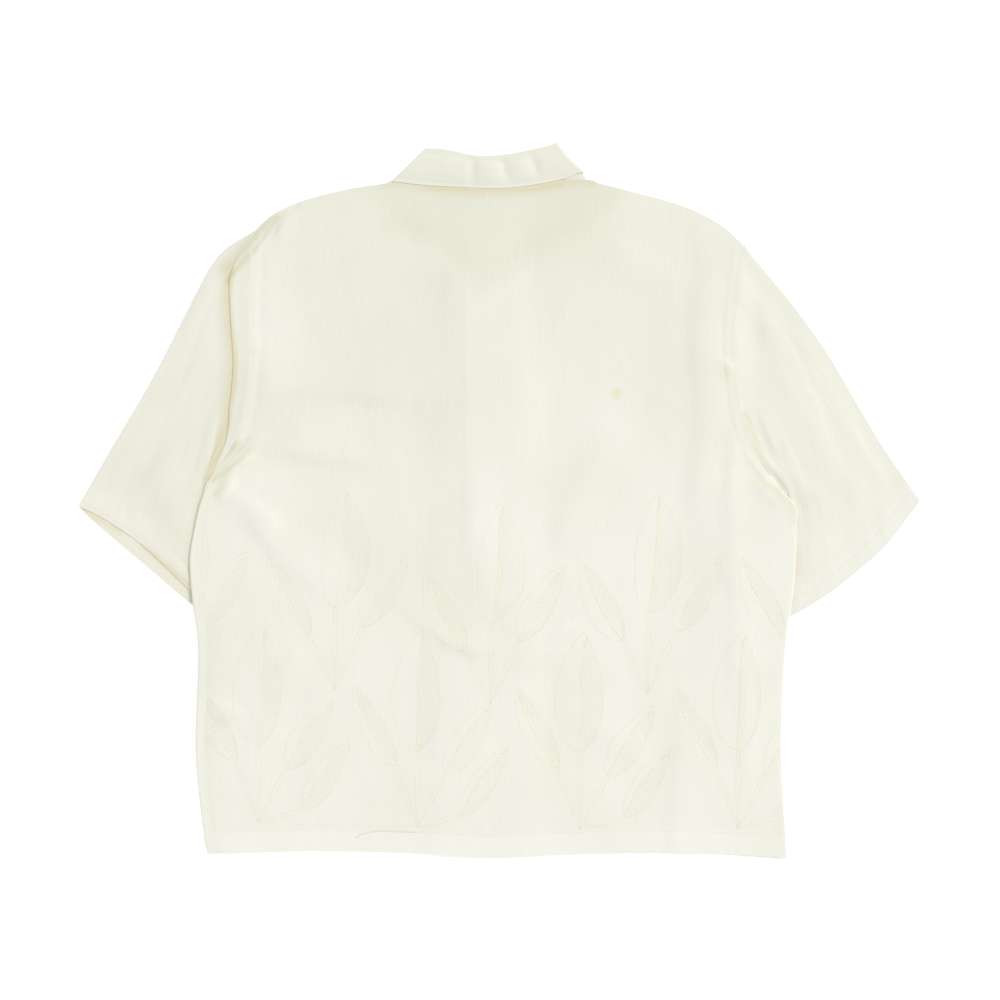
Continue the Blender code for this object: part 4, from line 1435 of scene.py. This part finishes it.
def make_buttons(material, thread):
    drilled = drilled_button()
    loops = []
    for number, y in enumerate(BUTTON_YS, 1):
        mesh = bmesh.new()
        mesh.from_mesh(drilled)
        bmesh.ops.translate(mesh, verts=mesh.verts, vec=(BUTTON_X * MM, y * MM, 0))
        piece = finish_piece(f"turned_button_{number}", mesh, material)
        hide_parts(f"button_{number}")
        for side in (-HOLE_REACH, HOLE_REACH):
            loops.append([(BUTTON_X + side, y + s * HOLE_REACH, z) for s, z in BUTTON_THREAD])
    thread_piece("button_threads", loops, BUTTON_THREAD_RADIUS, thread)


def make_buttonholes(front, thread):
    """Narrow satin-stitched slits along the left front's edge, one over each button."""
    tree = surface_tree(front)
    length, width = BUTTONHOLE_LENGTH / 2, BUTTONHOLE_WIDTH / 2
    corners = ((-width, -length), (width, -length), (width, length), (-width, length), (-width, -length))
    paths = []
    for y in BUTTON_YS:
        path = np.concatenate([np.linspace(a, b, BUTTONHOLE_POINTS) for a, b in zip(corners, corners[1:])])
        paths.append(path + (BUTTON_X, y))
    laid = laid_paths(paths, tree, BUTTONHOLE_LIFT)
    thread_piece("buttonholes", laid, BUTTONHOLE_RADIUS, thread)


# Materials

def linear(hex_colour):
    """An sRGB hex colour as linear values with alpha."""
    channels = [int(hex_colour[i : i + 2], 16) / 255 for i in (1, 3, 5)]
    return tuple(c / 12.92 if c <= 0.04045 else ((c + 0.055) / 1.055) ** 2.4 for c in channels) + (1,)


def node(tree, kind, settings=None, links=None):
    """Adds a node with its settings and input values, and links its inputs from other sockets."""
    made = tree.nodes.new(kind)
    for name, value in (settings or {}).items():
        if isinstance(name, int) or name in made.inputs:
            made.inputs[name].default_value = value
        else:
            setattr(made, name, value)
    for name, source in (links or {}).items():
        tree.links.new(source, made.inputs[name])
    return made


def new_material(name):
    material = bpy.data.materials.new(name)
    material.use_nodes = True
    tree = material.node_tree
    tree.nodes.clear()
    shader = node(tree, "ShaderNodeBsdfPrincipled")
    node(tree, "ShaderNodeOutputMaterial", links={"Surface": shader.outputs[0]})
    return material, tree, shader


def per_metre(across, along):
    """The scale of a pattern on the flat cut, which is in metres."""
    return (1000 / across, 1000 / along, 1)


def noise(tree, vector, **settings):
    return node(tree, "ShaderNodeTexNoise", settings, {"Vector": vector}).outputs[0]


def stretched(tree, flat, size):
    """Places on the flat cut, scaled for a pattern of one size across and another along the cloth."""
    return node(tree, "ShaderNodeMapping", {"Scale": per_metre(*size)}, {"Vector": flat}).outputs[0]


def plus_share(tree, share, more, base):
    settings = {"operation": "MULTIPLY_ADD", 1: share}
    return node(tree, "ShaderNodeMath", settings, {0: more, 2: base}).outputs[0]


def tinted(tree, base, colour, share):
    """A colour multiplied by another one, as far as the share says."""
    settings = {"data_type": "RGBA", "blend_type": "MULTIPLY", 7: linear(colour)}
    return node(tree, "ShaderNodeMix", settings, {0: share, 6: base}).outputs[2]


def yarn_colour(tree, flat, place):
    """The slubs' streaks along the warp and large soft blotches, between two creams."""
    streaks = noise(tree, stretched(tree, flat, SLUB_SIZE), Scale=1.0, Detail=3.0, Roughness=0.55)
    blotches = noise(tree, place, Scale=1000 / BLOTCH_SIZE, Detail=2.0)
    tone = plus_share(tree, SLUB_SHARE, streaks, blotches)
    ramp = node(tree, "ShaderNodeValToRGB", links={"Fac": tone})
    ramp.color_ramp.elements[0].position = 0.55
    ramp.color_ramp.elements[0].color = linear("#e4e4da")
    ramp.color_ramp.elements[1].position = 1.05
    ramp.color_ramp.elements[1].color = linear("#e9e8e0")
    return ramp.outputs[0]


def thinness_and_shade(tree):
    """How few layers of cloth lie there, with the painted shade taken off their count, from 0 for many to 1
    for few.
    """
    layers = node(tree, "ShaderNodeAttribute", {"attribute_name": "layers"})
    settings = {"From Min": MANY_LAYERS, "From Max": FEW_LAYERS}
    return node(tree, "ShaderNodeMapRange", settings, {"Value": layers.outputs["Fac"]}).outputs[0]


def stain_share(tree, place):
    """The small ragged stain, fading out from its heart."""
    distance = node(tree, "ShaderNodeVectorMath", {"operation": "DISTANCE", 1: STAIN_PLACE}, {0: place})
    ragged = noise(tree, place, Scale=1000 / STAIN_GRAIN, Detail=2.0)
    reach = plus_share(tree, STAIN_RAGGED, ragged, distance.outputs["Value"])
    settings = {"From Min": STAIN_REACH, "From Max": STAIN_HEART, "To Max": STAIN_STRENGTH}
    return node(tree, "ShaderNodeMapRange", settings, {"Value": reach}).outputs[0]


def crinkled(tree, flat):
    """The fine crinkles along the cloth and the coarser weft yarns, as bumps."""
    weft = noise(tree, stretched(tree, flat, WEFT_SIZE), Scale=1.0, Detail=2.0)
    crinkles = noise(tree, stretched(tree, flat, CRINKLE_SIZE), Scale=1.0, Detail=3.0, Distortion=0.4)
    height = plus_share(tree, WEFT_SHARE, weft, crinkles)
    bump = {"Strength": 0.28, "Distance": 0.001}
    return node(tree, "ShaderNodeBump", bump, {"Height": height}).outputs[0]


def slub_cotton_lawn():
    """Undyed cotton lawn, plain woven from slubby yarn: matt, faintly streaked along the warp."""
    material, tree, shader = new_material("slub_cotton_lawn")
    look = {"Roughness": 0.82, "Specular IOR Level": 0.25, "Sheen Weight": 0.12, "Sheen Roughness": 0.5}
    for name, value in look.items():
        shader.inputs[name].default_value = value
    flat = node(tree, "ShaderNodeUVMap", {"uv_map": "UVMap"}).outputs[0]
    place = node(tree, "ShaderNodeTexCoord").outputs["Object"]
    hollow = node(tree, "ShaderNodeAttribute", {"attribute_name": "hollow"}).outputs["Fac"]
    # Tinted by the layers of cloth seen through, and by the painted shade carried in the same count
    colour = tinted(tree, yarn_colour(tree, flat, place), "#e8e8db", thinness_and_shade(tree))
    # Painted warm shade in deep folds and tucks, under the collar's edge and along the cuffs and armholes,
    # from the hollow attribute
    colour = tinted(tree, colour, "#f6efdb", hollow)
    colour = tinted(tree, colour, "#fbf3dc", stain_share(tree, place))
    tree.links.new(colour, shader.inputs["Base Color"])
    tree.links.new(crinkled(tree, flat), shader.inputs["Normal"])
    return material


def embroidery_cotton(name, colour):
    """Mercerised cotton thread, a little deeper gold than the cloth and softly shiny."""
    material, _, shader = new_material(name)
    shader.inputs["Base Color"].default_value = linear(colour)
    shader.inputs["Roughness"].default_value = 0.5
    shader.inputs["Sheen Weight"].default_value = 0.2
    return material


def button_horn():
    """Pale polished horn-like resin: smooth, creamy, with faint drifting streaks."""
    material, tree, shader = new_material("pale_horn_resin")
    place = node(tree, "ShaderNodeTexCoord").outputs["Object"]
    drift = noise(tree, place, Scale=1000 / HORN_STREAK, Detail=3.0, Distortion=1.2)
    ramp = node(tree, "ShaderNodeValToRGB", links={"Fac": drift})
    ramp.color_ramp.elements[0].color = linear("#d2cbb2")
    ramp.color_ramp.elements[1].color = linear("#e6e0cb")
    tree.links.new(ramp.outputs[0], shader.inputs["Base Color"])
    shader.inputs["Roughness"].default_value = 0.3
    return material


def sewing_thread():
    """Matt cream polyester-cotton thread of the seams."""
    material, _, shader = new_material("cream_sewing_thread")
    shader.inputs["Base Color"].default_value = linear("#e6e2d2")
    shader.inputs["Roughness"].default_value = 0.6
    return material


# The floor, light and camera

def make_stage():
    mesh = bmesh.new()
    bmesh.ops.create_grid(mesh, x_segments=1, y_segments=1, size=FLOOR_HALF)
    data = bpy.data.meshes.new("floor")
    mesh.to_mesh(data)
    mesh.free()
    floor = bpy.data.objects.new("floor", data)
    bpy.context.scene.collection.objects.link(floor)
    material, _, shader = new_material("white_paper")
    shader.inputs["Base Color"].default_value = linear("#fbfbfb")
    shader.inputs["Roughness"].default_value = 0.95
    shader.inputs["Specular IOR Level"].default_value = 0.1
    shader.inputs["Emission Color"].default_value = linear("#ffffff")
    shader.inputs["Emission Strength"].default_value = 0.25
    data.materials.append(material)


def area_light(name, location, size, watts):
    data = bpy.data.lights.new(name, "AREA")
    data.shape = "SQUARE"
    data.size = size
    data.energy = watts
    light = bpy.data.objects.new(name, data)
    light.location = location
    light.rotation_euler = (-Vector(location)).to_track_quat("-Z", "Y").to_euler()
    bpy.context.scene.collection.objects.link(light)


def make_light():
    world = bpy.data.worlds.new("studio")
    world.use_nodes = True
    world.node_tree.nodes["Background"].inputs["Color"].default_value = (1, 1, 1, 1)
    world.node_tree.nodes["Background"].inputs["Strength"].default_value = SKY_STRENGTH
    bpy.context.scene.world = world
    for name, place, size, watts in LIGHTS:
        area_light(name, place, size, watts)
    bpy.context.scene.view_settings.view_transform = "Standard"


def make_camera():
    """Straight down, 1050 mm across its frame at the cloth, as the shirt was photographed."""
    data = bpy.data.cameras.new("camera")
    data.lens = LENS
    data.sensor_width = SENSOR
    camera = bpy.data.objects.new("camera", data)
    camera.location = (CAMERA_X, CAMERA_Y, FRAME_WIDTH / SENSOR * LENS + CLOTH_HEIGHT)
    bpy.context.scene.collection.objects.link(camera)
    bpy.context.scene.camera = camera


def main():
    make_camera()
    make_stage()
    make_light()
    cloth = slub_cotton_lawn()
    pieces = make_body(cloth)
    for name in SLEEVES:
        pieces[name] = make_sleeve(name, cloth)
    pieces["collar"] = make_collar(cloth)
    fawn = embroidery_cotton("fawn_cotton_thread", "#e3dfcd")
    golden = embroidery_cotton("golden_cotton_thread", "#ebe7d3")
    sewing = sewing_thread()
    leaf_materials = {"leaf_outlines": fawn, "leaf_midribs": golden, "leaf_veins": fawn}
    make_embroidery(pieces["back"], leaf_materials)
    make_topstitching(pieces, sewing)
    make_buttons(button_horn(), sewing)
    make_buttonholes(pieces["front_left"], sewing)


main()
